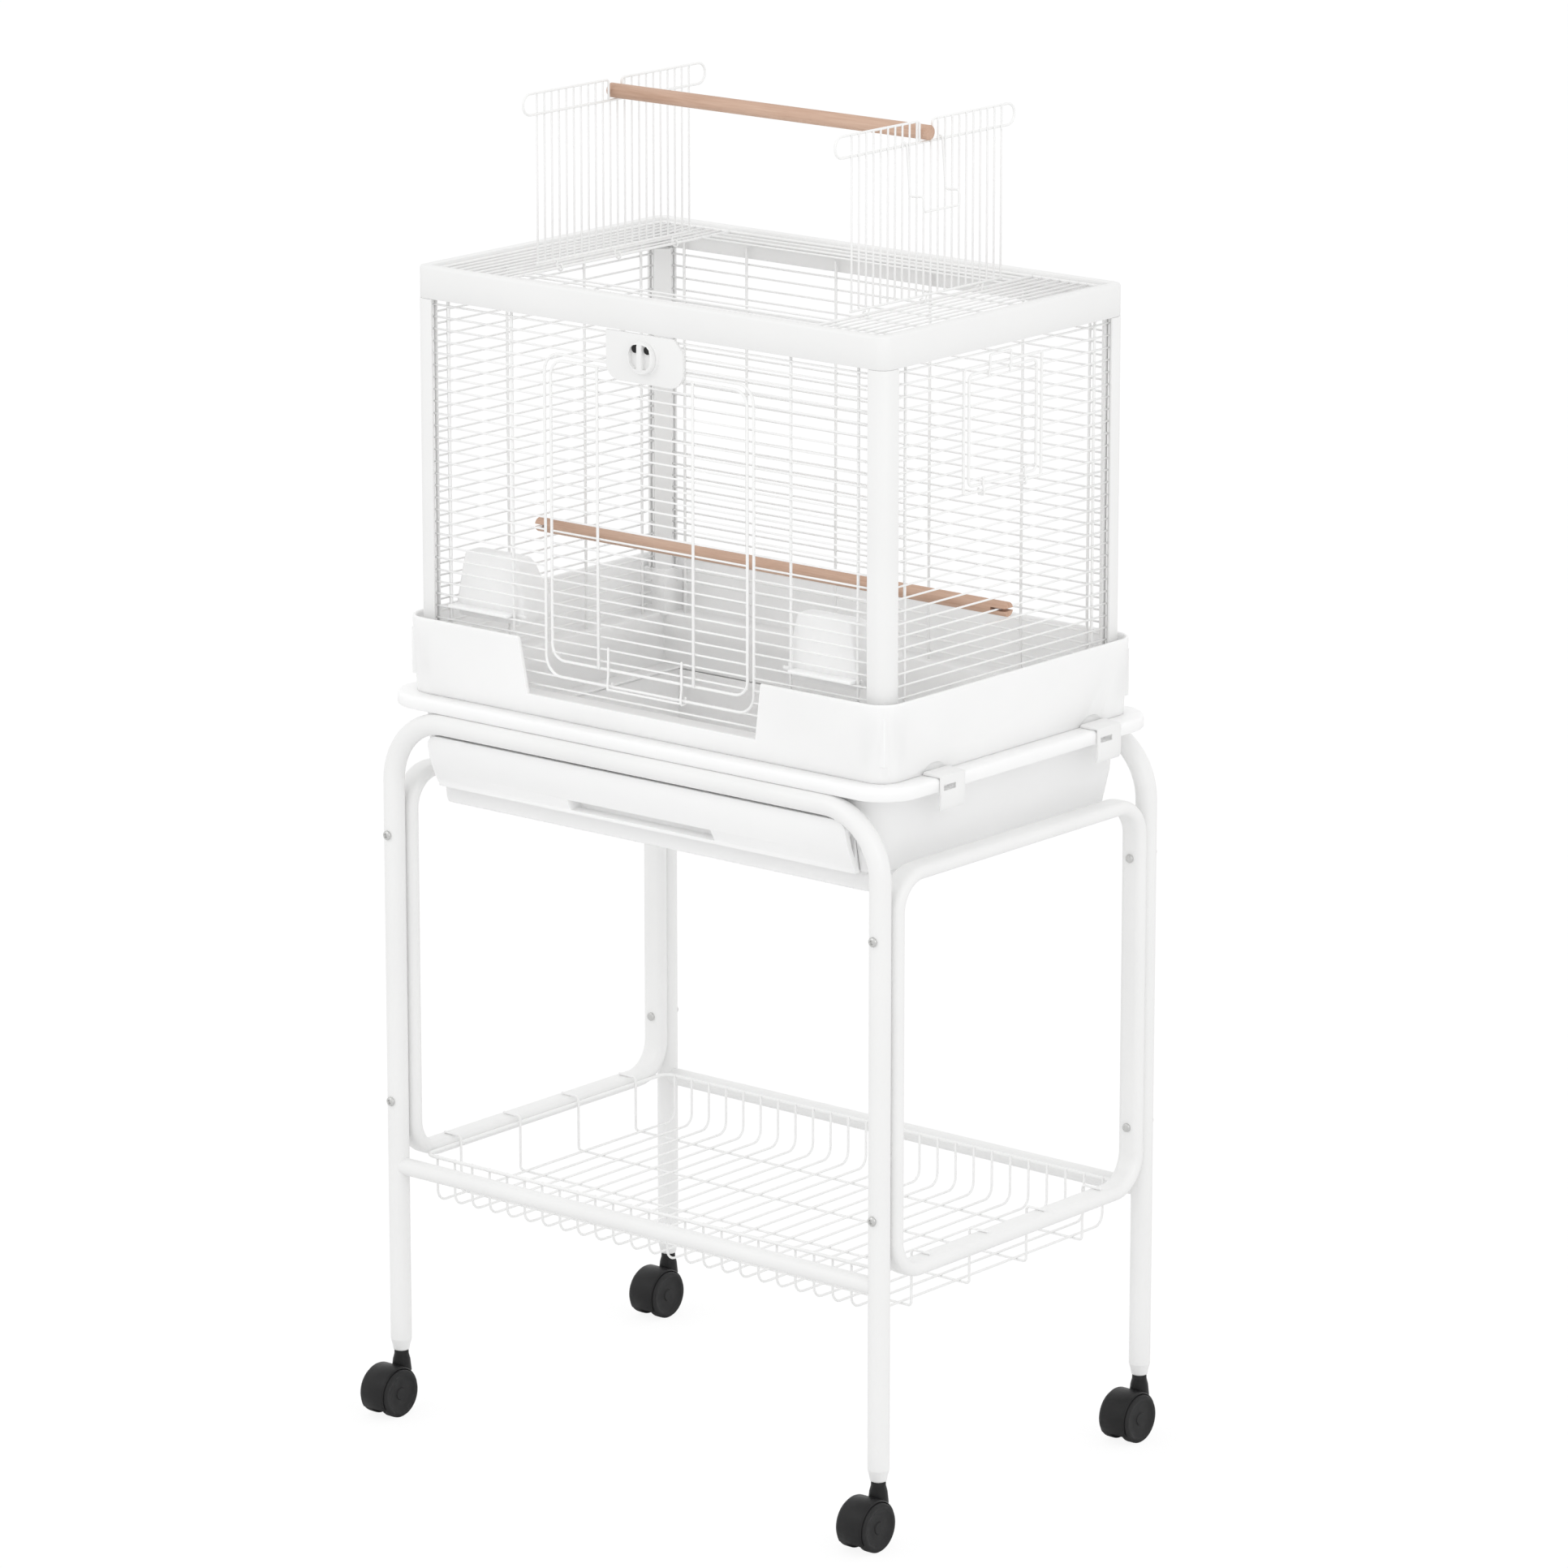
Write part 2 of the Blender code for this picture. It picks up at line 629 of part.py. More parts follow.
def lower_tray(name, material):
    """The tub under the cage: a flange that lies on the portals, tucked walls, a step and two runners."""
    mid = (FLANGE_LOW + TUB_STEP_Z) / 2 + 0.008

    def ring(size_x, size_y, corner, z):
        return rectangle_ring(size_x / 2, size_y / 2, corner, z, 4)

    def tub(grow, z):
        return ring(TUB_X + 2 * grow, TUB_Y + 2 * grow, TUB_R + grow, z)

    step = -TUB_TUCK - TUB_STEP
    outer = [ring(FLANGE_X - 0.004, FLANGE_Y - 0.004, FLANGE_R, FLANGE_TOP),
             ring(FLANGE_X, FLANGE_Y, FLANGE_R, FLANGE_TOP - 0.003),
             ring(FLANGE_X, FLANGE_Y, FLANGE_R, FLANGE_LOW),
             tub(0, FLANGE_LOW), tub(-TUB_TUCK * 0.3, mid - 0.012), tub(-TUB_TUCK, TUB_STEP_Z),
             tub(step, TUB_STEP_Z - 0.002), tub(step - 0.002, TUB_BOTTOM)]
    inner = [tub(step - TUB_WALL - 0.002, TUB_BOTTOM + TUB_WALL), tub(step - TUB_WALL, TUB_STEP_Z - 0.003),
             tub(-TUB_TUCK - TUB_WALL, TUB_STEP_Z + 0.001), tub(-TUB_TUCK * 0.3 - TUB_WALL, mid - 0.012),
             tub(-TUB_WALL, FLANGE_TOP)]
    count = len(outer[0])
    points = [point for one in outer + inner for point in one]
    faces = []
    rings = len(outer) + len(inner)
    for i in range(rings):
        if i == len(outer) - 1:
            continue
        a = i * count
        b = (i + 1) % rings * count
        for j in range(count):
            k = (j + 1) % count
            faces.append((a + j, a + k, b + k, b + j))
    faces.append(tuple((len(outer) - 1) * count + j for j in range(count)))
    faces.append(tuple(len(outer) * count + j for j in range(count)))
    tray = mesh_object(name, points, faces, material)
    for x in (-RUNNER_X, RUNNER_X):
        union(tray, box("runner", (x - RUNNER_HALF, -TUB_Y / 2 + RUNNER_END, TUB_BOTTOM + TUB_WALL / 2),
                        (x + RUNNER_HALF, TUB_Y / 2 - RUNNER_END, TUB_STEP_Z)))
    half, low, high = drawer_opening()
    cut(tray, box("drawer hole", (-half, -TUB_Y / 2 - TUB_WALL, low),
                  (half, -TUB_Y / 2 + TUB_TUCK + TUB_STEP + 3 * TUB_WALL, high)))
    return smooth(tray)


def drawer(name, material):
    """The litter drawer: a curved front with a long finger slot, and a shallow tray behind it."""
    half = DRAWER_X / 2
    low = TUB_STEP_Z + SEAT
    front = -TUB_Y / 2
    face = []
    for step in range(7):
        share = step / 6
        face.append((front - DRAWER_BULGE + DRAWER_TUCK * share ** 1.8,
                     DRAWER_TOP - (DRAWER_TOP - low) * share))
    back = [(y + DRAWER_SKIN, z) for y, z in reversed(face)]
    panel = prism(name, face + back, -half, half, "x", material)
    for side in (-1, 1):
        corner = [(side * (half + 0.002), DRAWER_TOP + 0.002),
                  (side * (half - DRAWER_CORNER), DRAWER_TOP + 0.002)]
        for step in range(5):
            angle = math.radians(22.5 * step)
            corner.append((side * (half - DRAWER_CORNER * (1 - math.sin(angle))),
                           DRAWER_TOP - DRAWER_CORNER * (1 - math.cos(angle))))
        corner.append((side * (half + 0.002), DRAWER_TOP - DRAWER_CORNER))
        cut(panel, prism("corner", corner, front - 2 * DRAWER_BULGE, front + 2 * DRAWER_TUCK, "y"))
    inner_half = half - DRAWER_SKIN
    tray_front = front + DRAWER_SET
    tray_high = DRAWER_TOP - 0.004
    union(panel, box("tray", (-inner_half, tray_front, low),
                     (inner_half, tray_front + DRAWER_DEPTH, tray_high)))
    union(panel, box("neck", (-inner_half, front - DRAWER_BULGE + DRAWER_SKIN - 0.0005, DRAWER_TOP - 0.020),
                     (inner_half, tray_front + DRAWER_SKIN, tray_high)))
    cut(panel, box("inside", (-inner_half + DRAWER_WALL, tray_front + 2 * DRAWER_SKIN, low + DRAWER_WALL),
                   (inner_half - DRAWER_WALL, tray_front + DRAWER_DEPTH - DRAWER_WALL, DRAWER_TOP + 0.01)))
    grip_low = low + DRAWER_WALL + 0.001
    cut(panel, box("grip", (-GRIP_WIDE / 2, front - 2 * DRAWER_BULGE, grip_low),
                   (GRIP_WIDE / 2, front + GRIP_DEEP, grip_low + GRIP_TALL)))
    return set_origin(smooth(panel, 30), (0, front - DRAWER_BULGE, (low + DRAWER_TOP) / 2))


def base(name, material):
    """The cage's base: flared walls, a ledge for the posts, the door's notch and a thumb hollow per clip."""
    profile = ((0, BASE_TOP - 0.002), (BASE_FLARE, BASE_LOW), (LEDGE_IN, BASE_LOW), (LEDGE_IN, LEDGE_TOP),
               (BASE_FLARE + BASE_WALL, LEDGE_TOP), (BASE_WALL + 0.0006, BASE_TOP - 0.002),
               (0.0018, BASE_TOP))
    part = walls(name, BASE_X, BASE_Y, BASE_R, profile, material)
    notch_z = LEDGE_TOP + NOTCH_RISE
    outline = ((-NOTCH_LOW_X / 2, notch_z), (NOTCH_LOW_X / 2, notch_z),
               (NOTCH_TOP_X / 2, BASE_TOP + 0.01), (-NOTCH_TOP_X / 2, BASE_TOP + 0.01))
    cut(part, prism("notch", outline, -BASE_Y / 2 - BASE_WALL, -BASE_Y / 2 + BASE_FLARE + 2 * BASE_WALL, "y"))
    face = BASE_X / 2 - BASE_FLARE
    for y in CLIP_Y:
        thumb = [(y + THUMB_WIDE / 2 * math.cos(a), BASE_LOW + THUMB_TALL * math.sin(a))
                 for a in (math.radians(i * 22.5) for i in range(9))]
        thumb += [(y - THUMB_WIDE / 2, BASE_LOW - 0.002), (y + THUMB_WIDE / 2, BASE_LOW - 0.002)]
        for side in (-1, 1):
            ends = sorted((side * (face - THUMB_DEEP), side * (face + 2 * BASE_FLARE)))
            cut(part, prism("thumb", thumb, ends[0], ends[1], "x"))
    return smooth(part)


def clip_pivot():
    """The clips' hinge line, as (distance from the middle, height)."""
    return BASE_X / 2 - BASE_FLARE + SEAT + 0.0012, FLANGE_TOP + CLIP_RISE


def side_clip(name, side, y, material):
    """A snap clip: hinged on the base's wall, over the flange's edge and down to a slotted, beaded tongue."""
    hinge_x, hinge_z = clip_pivot()
    edge = FLANGE_X / 2 + SEAT
    outside = edge + CLIP_THICK
    low = FLANGE_LOW - CLIP_LONG
    outline = [(hinge_x - 0.0012, FLANGE_TOP + SEAT), (hinge_x, hinge_z), (hinge_x + 0.003, hinge_z),
               (outside, FLANGE_TOP + CLIP_RISE * 0.6), (outside, low + 0.006), (edge, low),
               (edge - 0.001, low + 0.001), (edge, low + 0.006), (edge, FLANGE_LOW - 0.0045),
               (edge - 0.0012, FLANGE_LOW - 0.0032), (edge, FLANGE_LOW - 0.0025), (edge, FLANGE_TOP + SEAT)]
    outline = [(side * x, z) for x, z in outline]
    clip = prism(name, outline, y - CLIP_WIDE / 2, y + CLIP_WIDE / 2, "y", material)
    slot_z = (FLANGE_LOW + FLANGE_TOP) / 2
    ends = sorted((side * (edge - CLIP_THICK), side * (outside + CLIP_THICK)))
    cut(clip, box("slot", (ends[0], y + 0.001, slot_z - 0.004), (ends[1], y + 0.015, slot_z + 0.002)))
    return set_origin(clip, (side * hinge_x, y, hinge_z))


def post(name, sx, sy, material):
    """A corner post: two arms, a round outer corner, an inner chamfer and a groove for each panel's wires."""
    corner = Vector((CAGE_X / 2, CAGE_Y / 2))
    arc = [(POST_R - POST_R * math.cos(a), POST_R - POST_R * math.sin(a))
           for a in (math.pi / 2 * i / 5 for i in range(6))]
    mid = PANEL_IN
    near = mid - GROOVE_WIDE / 2
    far = mid + GROOVE_WIDE / 2
    deep = POST_FACE - GROOVE_DEEP
    outline = arc + [(POST_FACE, 0), (POST_FACE, near), (deep, near), (deep, far), (POST_FACE, far),
                     (POST_FACE, POST_ARM), (POST_ARM, POST_FACE), (far, POST_FACE), (far, deep),
                     (near, deep), (near, POST_FACE), (0, POST_FACE)]
    points = [(sx * (corner.x - a), sy * (corner.y - b)) for a, b in outline]
    return smooth(prism(name, points, CAGE_LOW, RIM_LOW - SEAT, "z", material))


def rim(name, material):
    """The top frame: a channel open below, its outer wall on the posts and a short lip inside."""
    lip = RIM_WIDE - RIM_WALL * 0.8
    profile = ((0, RIM_LOW), (0, RIM_TOP - 0.0015), (0.0015, RIM_TOP), (RIM_WIDE, RIM_TOP),
               (RIM_WIDE, RIM_TOP - RIM_LIP), (lip, RIM_TOP - RIM_LIP), (lip, RIM_TOP - RIM_WALL),
               (RIM_WALL, RIM_TOP - RIM_WALL), (RIM_WALL, RIM_LOW))
    return smooth(walls(name, CAGE_X, CAGE_Y, POST_R + 0.001, profile, material))


class Face:
    """A side of the cage: its own along, up and outward directions."""

    def __init__(self, along, outward, distance, half):
        self.along = Vector(along)
        self.outward = Vector(outward)
        self.distance = distance
        self.half = half

    def at(self, s, z, inward=0.0):
        return self.along * s + Vector((0, 0, z)) + self.outward * (self.distance - inward)


FRONT = Face((1, 0, 0), (0, -1, 0), PANEL_Y, CAGE_X / 2 - POST_FACE + BORDER_END)
REAR = Face((1, 0, 0), (0, 1, 0), PANEL_Y, CAGE_X / 2 - POST_FACE + BORDER_END)
LEFT = Face((0, 1, 0), (-1, 0, 0), PANEL_X, CAGE_Y / 2 - POST_FACE + BORDER_END)
RIGHT = Face((0, 1, 0), (1, 0, 0), PANEL_X, CAGE_Y / 2 - POST_FACE + BORDER_END)
BAR_LOW = CAGE_LOW
BAR_HIGH = RIM_LOW + 0.012


def straight(face, s0, z0, s1, z1, inward, radius):
    return wire("wire", (face.at(s0, z0, inward), face.at(s1, z1, inward)), face.outward, radius)


def row_wire(face, s0, s1, row):
    """A horizontal wire. The first and last rows are heavier, because the uprights are welded to them."""
    radius = BAR_R if row in (0, ROWS - 1) else ROW_R
    return straight(face, s0, row_z(row), s1, row_z(row), 0, radius)


def uprights(face, bars):
    """The border wires in the posts' grooves, which hold every row, and the bars behind the rows."""
    wires = [straight(face, side * face.half, BAR_LOW, side * face.half, RIM_LOW - SEAT, 0, BAR_R)
             for side in (-1, 1)]
    wires += [straight(face, side * s, BAR_LOW, side * s, BAR_HIGH, BAR_CLEAR, BAR_R)
              for s in bars for side in (-1, 1)]
    return join("uprights", wires)


def plain_panel(name, face, bars, material):
    """A full grille of rows between two borders."""
    rows = [row_wire(face, -face.half, face.half, i) for i in range(ROWS)]
    return union(join(name, rows, material), uprights(face, bars))


def opening_frame(face, half, low, high, bend, steps):
    """A closed wire with rounded corners round an opening or a door."""
    corners = [face.at(-half, low), face.at(half, low), face.at(half, high), face.at(-half, high)]
    path = rounded_path(corners, bend, steps, closed=True)
    return wire("frame", path, face.outward, BAR_R, closed=True)


def holed_panel(name, face, bars, hole, bend, material):
    """A grille with a framed opening. Rows within the opening's height end at its frame."""
    half, low, high = hole
    rows = []
    for i in range(ROWS):
        if low - 0.001 < row_z(i) < high + 0.001:
            depth = min(max(min(row_z(i) - low, high - row_z(i)), 0), bend)
            reach = half - bend + math.sqrt(bend ** 2 - (bend - depth) ** 2)
            rows += [row_wire(face, side * face.half, side * reach, i) for side in (-1, 1)]
        else:
            rows.append(row_wire(face, -face.half, face.half, i))
    panel = union(join(name, rows, material), uprights(face, [s for s in bars if s > half]))
    return union(panel, opening_frame(face, half, low, high, bend, 3 if bend > 0.01 else 1))


def front_door(name, material):
    """The door: a round-cornered wire frame, its rows and two bars, with hooks round the sill wire."""
    half = DOOR_FRAME_X - DOOR_GAP - BAR_R
    sill = row_z(DOOR_FRAME_ROW)
    low = sill + DOOR_LIFT
    high = DOOR_FRAME_TOP - DOOR_GAP
    frame = opening_frame(FRONT, half, low, high, DOOR_BEND - 0.004, 3)
    frame.name = name
    frame.data.materials.append(material)
    rows = [row_wire(FRONT, -half, half, i) for i in range(ROWS)
            if low + ROW_PITCH / 2 < row_z(i) < high - ROW_PITCH / 3]
    union(frame, join("rows", rows))
    union(frame, join("bars", [straight(FRONT, x, low - BAR_R, x, high + BAR_R, BAR_CLEAR, BAR_R)
                               for x in (-DOOR_BARS, DOOR_BARS)]))
    near = BAR_R + HOOK_R - WELD - 0.0002
    clear = BAR_R + HOOK_R + RUN
    hooks = []
    for x in (-HOOK_X, HOOK_X):
        route = [FRONT.at(x, sill + HOOK_RISE, -near), FRONT.at(x, low - 0.004, -near),
                 FRONT.at(x, sill + 0.003, -clear), FRONT.at(x, sill - HOOK_DROP, -clear),
                 FRONT.at(x, sill - HOOK_DROP, clear), FRONT.at(x, sill + 0.003, clear)]
        hooks.append(wire("hook", route, FRONT.along, HOOK_R))
    hooks.append(straight(FRONT, -HOOK_X, sill - 0.001, HOOK_X, sill - 0.001, -clear, HOOK_R))
    union(frame, *hooks)
    return set_origin(frame, (0, -PANEL_Y, sill))


def latch_plate(name, material):
    """The moulded plate on the door that carries the turn latch, rounded towards its foot."""
    half = LATCH_X / 2
    face = LATCH_BACK - LATCH_THICK
    outline = [(-half, LATCH_HIGH)]
    for side in (-1, 1):
        for i in range(5):
            angle = math.pi / 2 * (i if side < 0 else 4 - i) / 4
            outline.append((side * (half - LATCH_ROUND * (1 - math.cos(angle))),
                            LATCH_LOW + LATCH_ROUND * (1 - math.sin(angle))))
    outline.append((half, LATCH_HIGH))
    plate = prism(name, outline, face, LATCH_BACK, "y", material)
    union(plate, turned("boss", (0, face + 0.0005, LATCH_Z), (0, -1, 0),
                        ((0, KNOB_R + 0.003), (0.002, KNOB_R + 0.002)), sides=12))
    cut(plate, rod("hole", (0, face - 0.01, LATCH_Z), (0, face + 0.01, LATCH_Z), SPINDLE_R + SEAT, sides=8))
    return smooth(plate, 35)


def latch_knob(name, material):
    """The turn knob, its spindle through the plate and the cam that turns behind the wires."""
    face = LATCH_BACK - LATCH_THICK - 0.0015 - SEAT
    cam_y = -PANEL_Y + ROW_R + SEAT
    knob = turned(name, (0, face - 0.006, LATCH_Z), (0, 1, 0),
                  ((0, KNOB_R - 0.0015), (0.0015, KNOB_R), (0.006, KNOB_R), (0.006, SPINDLE_R),
                   (cam_y + 0.003 - face + 0.006, SPINDLE_R)), material)
    union(knob, box("grip", (-KNOB_R * 0.82, face - 0.0105, LATCH_Z - 0.002),
                    (KNOB_R * 0.82, face - 0.005, LATCH_Z + 0.002)))
    union(knob, box("cam", (-CAM_LONG / 2, cam_y, LATCH_Z - CAM_WIDE / 2),
                    (CAM_LONG / 2, cam_y + 0.003, LATCH_Z + CAM_WIDE / 2)))
    return set_origin(smooth(knob, 35), (0, -PANEL_Y, LATCH_Z))


def side_door(name, material):
    """The small wire door in the right panel: two eyes on its sill and a tab bent over the row above."""
    half = SIDE_FRAME_Y - DOOR_GAP
    sill = row_z(SIDE_DOOR_LOW_ROW)
    low = sill + DOOR_GAP
    high = row_z(SIDE_DOOR_HIGH_ROW) - DOOR_GAP
    frame = opening_frame(RIGHT, half, low, high, 0.006, 1)
    frame.name = name
    frame.data.materials.append(material)
    rows = [row_wire(RIGHT, -half, half, i) for i in range(ROWS)
            if low + ROW_PITCH / 3 < row_z(i) < high - ROW_PITCH / 3]
    union(frame, join("rows", rows))
    near = BAR_R + HOOK_R - WELD
    clear = BAR_R + HOOK_R + RUN
    for y in (-half + SIDE_EYE_IN, half - SIDE_EYE_IN):
        route = [RIGHT.at(y, row_z(SIDE_DOOR_LOW_ROW + 1) + 0.001, -near), RIGHT.at(y, low - 0.001, -near),
                 RIGHT.at(y, sill + 0.001, -clear), RIGHT.at(y, sill - HOOK_DROP, -clear),
                 RIGHT.at(y, sill - HOOK_DROP, clear), RIGHT.at(y, sill + 0.002, clear)]
        union(frame, wire("eye", route, RIGHT.along, HOOK_R))
    tab_top = row_z(SIDE_DOOR_HIGH_ROW) + BAR_R + HOOK_R + 0.007
    tab = [wire("tab", (RIGHT.at(y, high - 0.004, -near), RIGHT.at(y, high + 0.001, -near),
                        RIGHT.at(y, high + 0.004, -clear), RIGHT.at(y, tab_top, -clear)), RIGHT.along, HOOK_R)
           for y in SIDE_TAB]
    tab.append(straight(RIGHT, SIDE_TAB[0], tab_top, SIDE_TAB[1], tab_top, -clear, HOOK_R))
    union(frame, *tab)
    return set_origin(frame, (PANEL_X, 0, sill))


def roof(name, material):
    """The fixed roof: a border, close wires left and right of the opening and a margin front and rear."""
    end_x = CAGE_X / 2 - RIM_WIDE - SEAT - HINGE_R
    end_y = CAGE_Y / 2 - RIM_WIDE - SEAT - HINGE_R
    corners = [(-end_x, -end_y, ROOF_Z), (end_x, -end_y, ROOF_Z), (end_x, end_y, ROOF_Z),
               (-end_x, end_y, ROOF_Z)]
    border = wire(name, rounded_path(corners, 0.006, 1, closed=True), (0, 0, 1), HINGE_R, material, True)
    pitch = (end_x - HINGE_X) / (STRIP_WIRES + 1)
    wires = []
    for side in (-1, 1):
        ends = ((side * HINGE_X, -end_y, ROOF_Z), (side * HINGE_X, end_y, ROOF_Z))
        wires.append(wire("hinge bar", ends, (0, 0, 1), HINGE_R))
        for i in range(1, STRIP_WIRES + 1):
            x = side * (HINGE_X + i * pitch)
            wires.append(wire("strip", ((x, -end_y, ROOF_Z), (x, end_y, ROOF_Z)), (0, 0, 1), ROW_R))
    union(border, join("lengthways", wires))
    margins = []
    for i in range(1, MARGIN_WIRES + 1):
        for y in (-end_y + i * MARGIN_PITCH, end_y - i * MARGIN_PITCH):
            margins.append(wire("margin", ((-HINGE_X, y, ROOF_Z), (HINGE_X, y, ROOF_Z)), (0, 0, 1), ROW_R))
    return union(border, join("margins", margins))


def gate(name, side, material):
    """A roof gate: close wires, a round-ended loop with a saddle at its free edge, hooks on its hinge bar."""
    x = side * GATE_X
    low = ROOF_Z + HINGE_R + 0.006
    radius = GATE_LOOP / 2
    reach = GATE_HALF_Y - radius
    mid = GATE_TOP - radius
    half = SADDLE_HALF
    bend = [(radius * math.sin(a), radius * math.cos(a)) for a in (math.pi * i / 5 for i in range(1, 5))]
    path = rounded_path([(x, half, LOOP_WIRE_Z), (x, half, GATE_TOP), (x, reach, GATE_TOP)], 0.004, 1)
    path += [(x, reach + dy, mid + dz) for dy, dz in bend]
    path += [(x, reach, LOOP_WIRE_Z), (x, -reach, LOOP_WIRE_Z)]
    path += [(x, -reach - dy, mid - dz) for dy, dz in bend]
    path += rounded_path([(x, -reach, GATE_TOP), (x, -half, GATE_TOP), (x, -half, LOOP_WIRE_Z)], 0.004, 1)
    loop = wire(name, path, (1, 0, 0), GATE_LOOP_R, material)
    plane = x + side * (GATE_LOOP_R + GATE_WIRE_R - WELD)
    clear = x + side * (GATE_LOOP_R + GATE_WIRE_R + SEAT)
    wires = []
    for i in range(GATE_WIRES):
        y = (i - (GATE_WIRES - 1) / 2) * GATE_PITCH
        if abs(y) < half:
            route = [(plane, y, low), (plane, y, LOOP_WIRE_Z + 0.0008)]
        else:
            route = [(plane, y, low), (plane, y, LOOP_WIRE_Z + 0.002), (clear, y, GATE_TOP)]
        wires.append(wire("wire", route, (0, 1, 0), GATE_WIRE_R))
    union(loop, join("wires", wires))
    foot_reach = (GATE_WIRES - 1) / 2 * GATE_PITCH + 0.002
    union(loop, wire("foot", ((plane, -foot_reach, low), (plane, foot_reach, low)), (1, 0, 0), GATE_LOOP_R))
    hinge = side * HINGE_X
    ring = HINGE_R + RUN + GATE_WIRE_R
    hooks = []
    for y in (slot * GATE_PITCH for slot in GATE_HOOKS):
        path = [Vector((plane, y, low))]
        for i in range(6):
            angle = -math.radians(54 * i)
            path.append(Vector((hinge + side * ring * math.cos(angle), y,
                                ROOF_Z + ring * math.sin(angle))))
        hooks.append(wire("hook", path, (0, 1, 0), GATE_WIRE_R - 0.0002))
    union(loop, join("hooks", hooks))
    return set_origin(loop, (hinge, 0, ROOF_Z))


def gate_clasp(name, material):
    """The swinging bail on the right gate: two arms hooked on the loop's wire, stepped out to a crossbar."""
    pivot = Vector((GATE_X, 0, LOOP_WIRE_Z))
    ring = GATE_LOOP_R + RUN + CLASP_R
    foot = -CLASP_LONG - CLASP_TIP
    arms = []
    for slot in CLASP_SLOTS:
        y = slot * GATE_PITCH
        path = [(ring * math.cos(a), y, ring * math.sin(a))
                for a in (math.radians(215 - 50 * i) for i in range(6))]
        path += [(ring, y, -CLASP_LONG), (CLASP_OUT, y, -CLASP_LONG), (CLASP_OUT, y, foot)]
        arms.append(wire("arm", path, (0, 1, 0), CLASP_R))
    clasp = join(name, arms, material)
    ends = [slot * GATE_PITCH for slot in CLASP_SLOTS]
    bar = ((CLASP_OUT, ends[0] - CLASP_R, foot), (CLASP_OUT, ends[1] + CLASP_R, foot))
    union(clasp, wire("crossbar", bar, (1, 0, 0), CLASP_R))
    clasp.data.transform(Matrix.Translation(pivot) @ Matrix.Rotation(math.radians(-CLASP_LEAN), 4, "Y"))
    return set_origin(clasp, pivot)


def perch(name, start, end, z, material):
    """A round wooden perch along X with eased ends."""
    ease = 0.0012
    length = end - start
    profile = ((0, PERCH_R - ease), (ease, PERCH_R), (length - ease, PERCH_R), (length, PERCH_R - ease))
    stick = turned(name, (start, 0, z), (1, 0, 0), profile, material, sides=10)
    return set_origin(smooth(stick), ((start + end) / 2, 0, z))


def low_perch(name, material):
    """The perch inside the cage, its ends slotted to straddle a wire of each side panel."""
    half = PANEL_X + LOW_PERCH_OVER
    z = row_z(LOW_PERCH_ROW)
    stick = perch(name, -half, half, z, material)
    for side in (-1, 1):
        ends = sorted((side * (half - SLOT_DEEP), side * (half + SLOT_DEEP)))
        cut(stick, box("slot", (ends[0], -0.02, z - ROW_R - SEAT), (ends[1], 0.02, z + ROW_R + SEAT)))
    return stick


def feeder(name, side, material):
    """A hooded cup behind the front panel: open to the cage, with a tongue out between two wires."""
    x = side * FEEDER_X
    front = -PANEL_Y + BAR_CLEAR + BAR_R + 0.0015
    low, high = FEEDER_LOW, FEEDER_HIGH

    def ring(z, wide, deep, shrink):
        reach = wide / 2 - shrink
        return [Vector((x - reach, front + shrink, z)), Vector((x + reach, front + shrink, z)),
                Vector((x + reach, front + deep - shrink, z)), Vector((x - reach, front + deep - shrink, z))]

    wall = FEEDER_WALL
    body = loft(name, [ring(low, FEEDER_WIDE - 0.006, FEEDER_DEEP - 0.006, 0),
                       ring(low + 0.012, FEEDER_WIDE, FEEDER_DEEP, 0),
                       ring(high - 0.006, FEEDER_TOP_WIDE + 0.003, FEEDER_DEEP * 0.62, 0),
                       ring(high, FEEDER_TOP_WIDE - 0.003, FEEDER_DEEP * 0.50, 0)], material)
    hollow = loft("hollow", [ring(low + wall, FEEDER_WIDE - 0.006, FEEDER_DEEP - 0.006, wall),
                             ring(low + 0.012, FEEDER_WIDE, FEEDER_DEEP, wall),
                             ring(high - 0.006, FEEDER_TOP_WIDE + 0.003, FEEDER_DEEP * 0.62, wall),
                             ring(high - wall, FEEDER_TOP_WIDE, FEEDER_DEEP * 0.50, wall)])
    cut(body, hollow)
    cut(body, box("mouth", (x - FEEDER_TOP_WIDE / 2 + 2 * wall, front + 6 * wall, low + 0.020),
                  (x + FEEDER_TOP_WIDE / 2 - 2 * wall, front + 2 * FEEDER_DEEP, high - 4 * wall)))
    row = math.floor((low + 0.010 - ROW_FIRST) / ROW_PITCH)
    tongue_z = row_z(row) + ROW_R + SEAT
    union(body, box("lip", (x - FEEDER_LIP_WIDE / 2, front - 0.0012, tongue_z),
                    (x + FEEDER_LIP_WIDE / 2, front + 0.001, tongue_z + 0.003)))
    between = [bar for bar in LONG_BARS if abs(bar - FEEDER_X) < FEEDER_LIP_WIDE / 2]
    ends = sorted(side * (bar + turn * (BAR_R + 0.001)) for bar, turn in zip(between, (1, -1)))
    union(body, box("tongue", (ends[0], -PANEL_Y - 0.006, tongue_z),
                    (ends[1], front + 0.001, tongue_z + 0.003)))
    return set_origin(smooth(body, 30), (x, front, low))


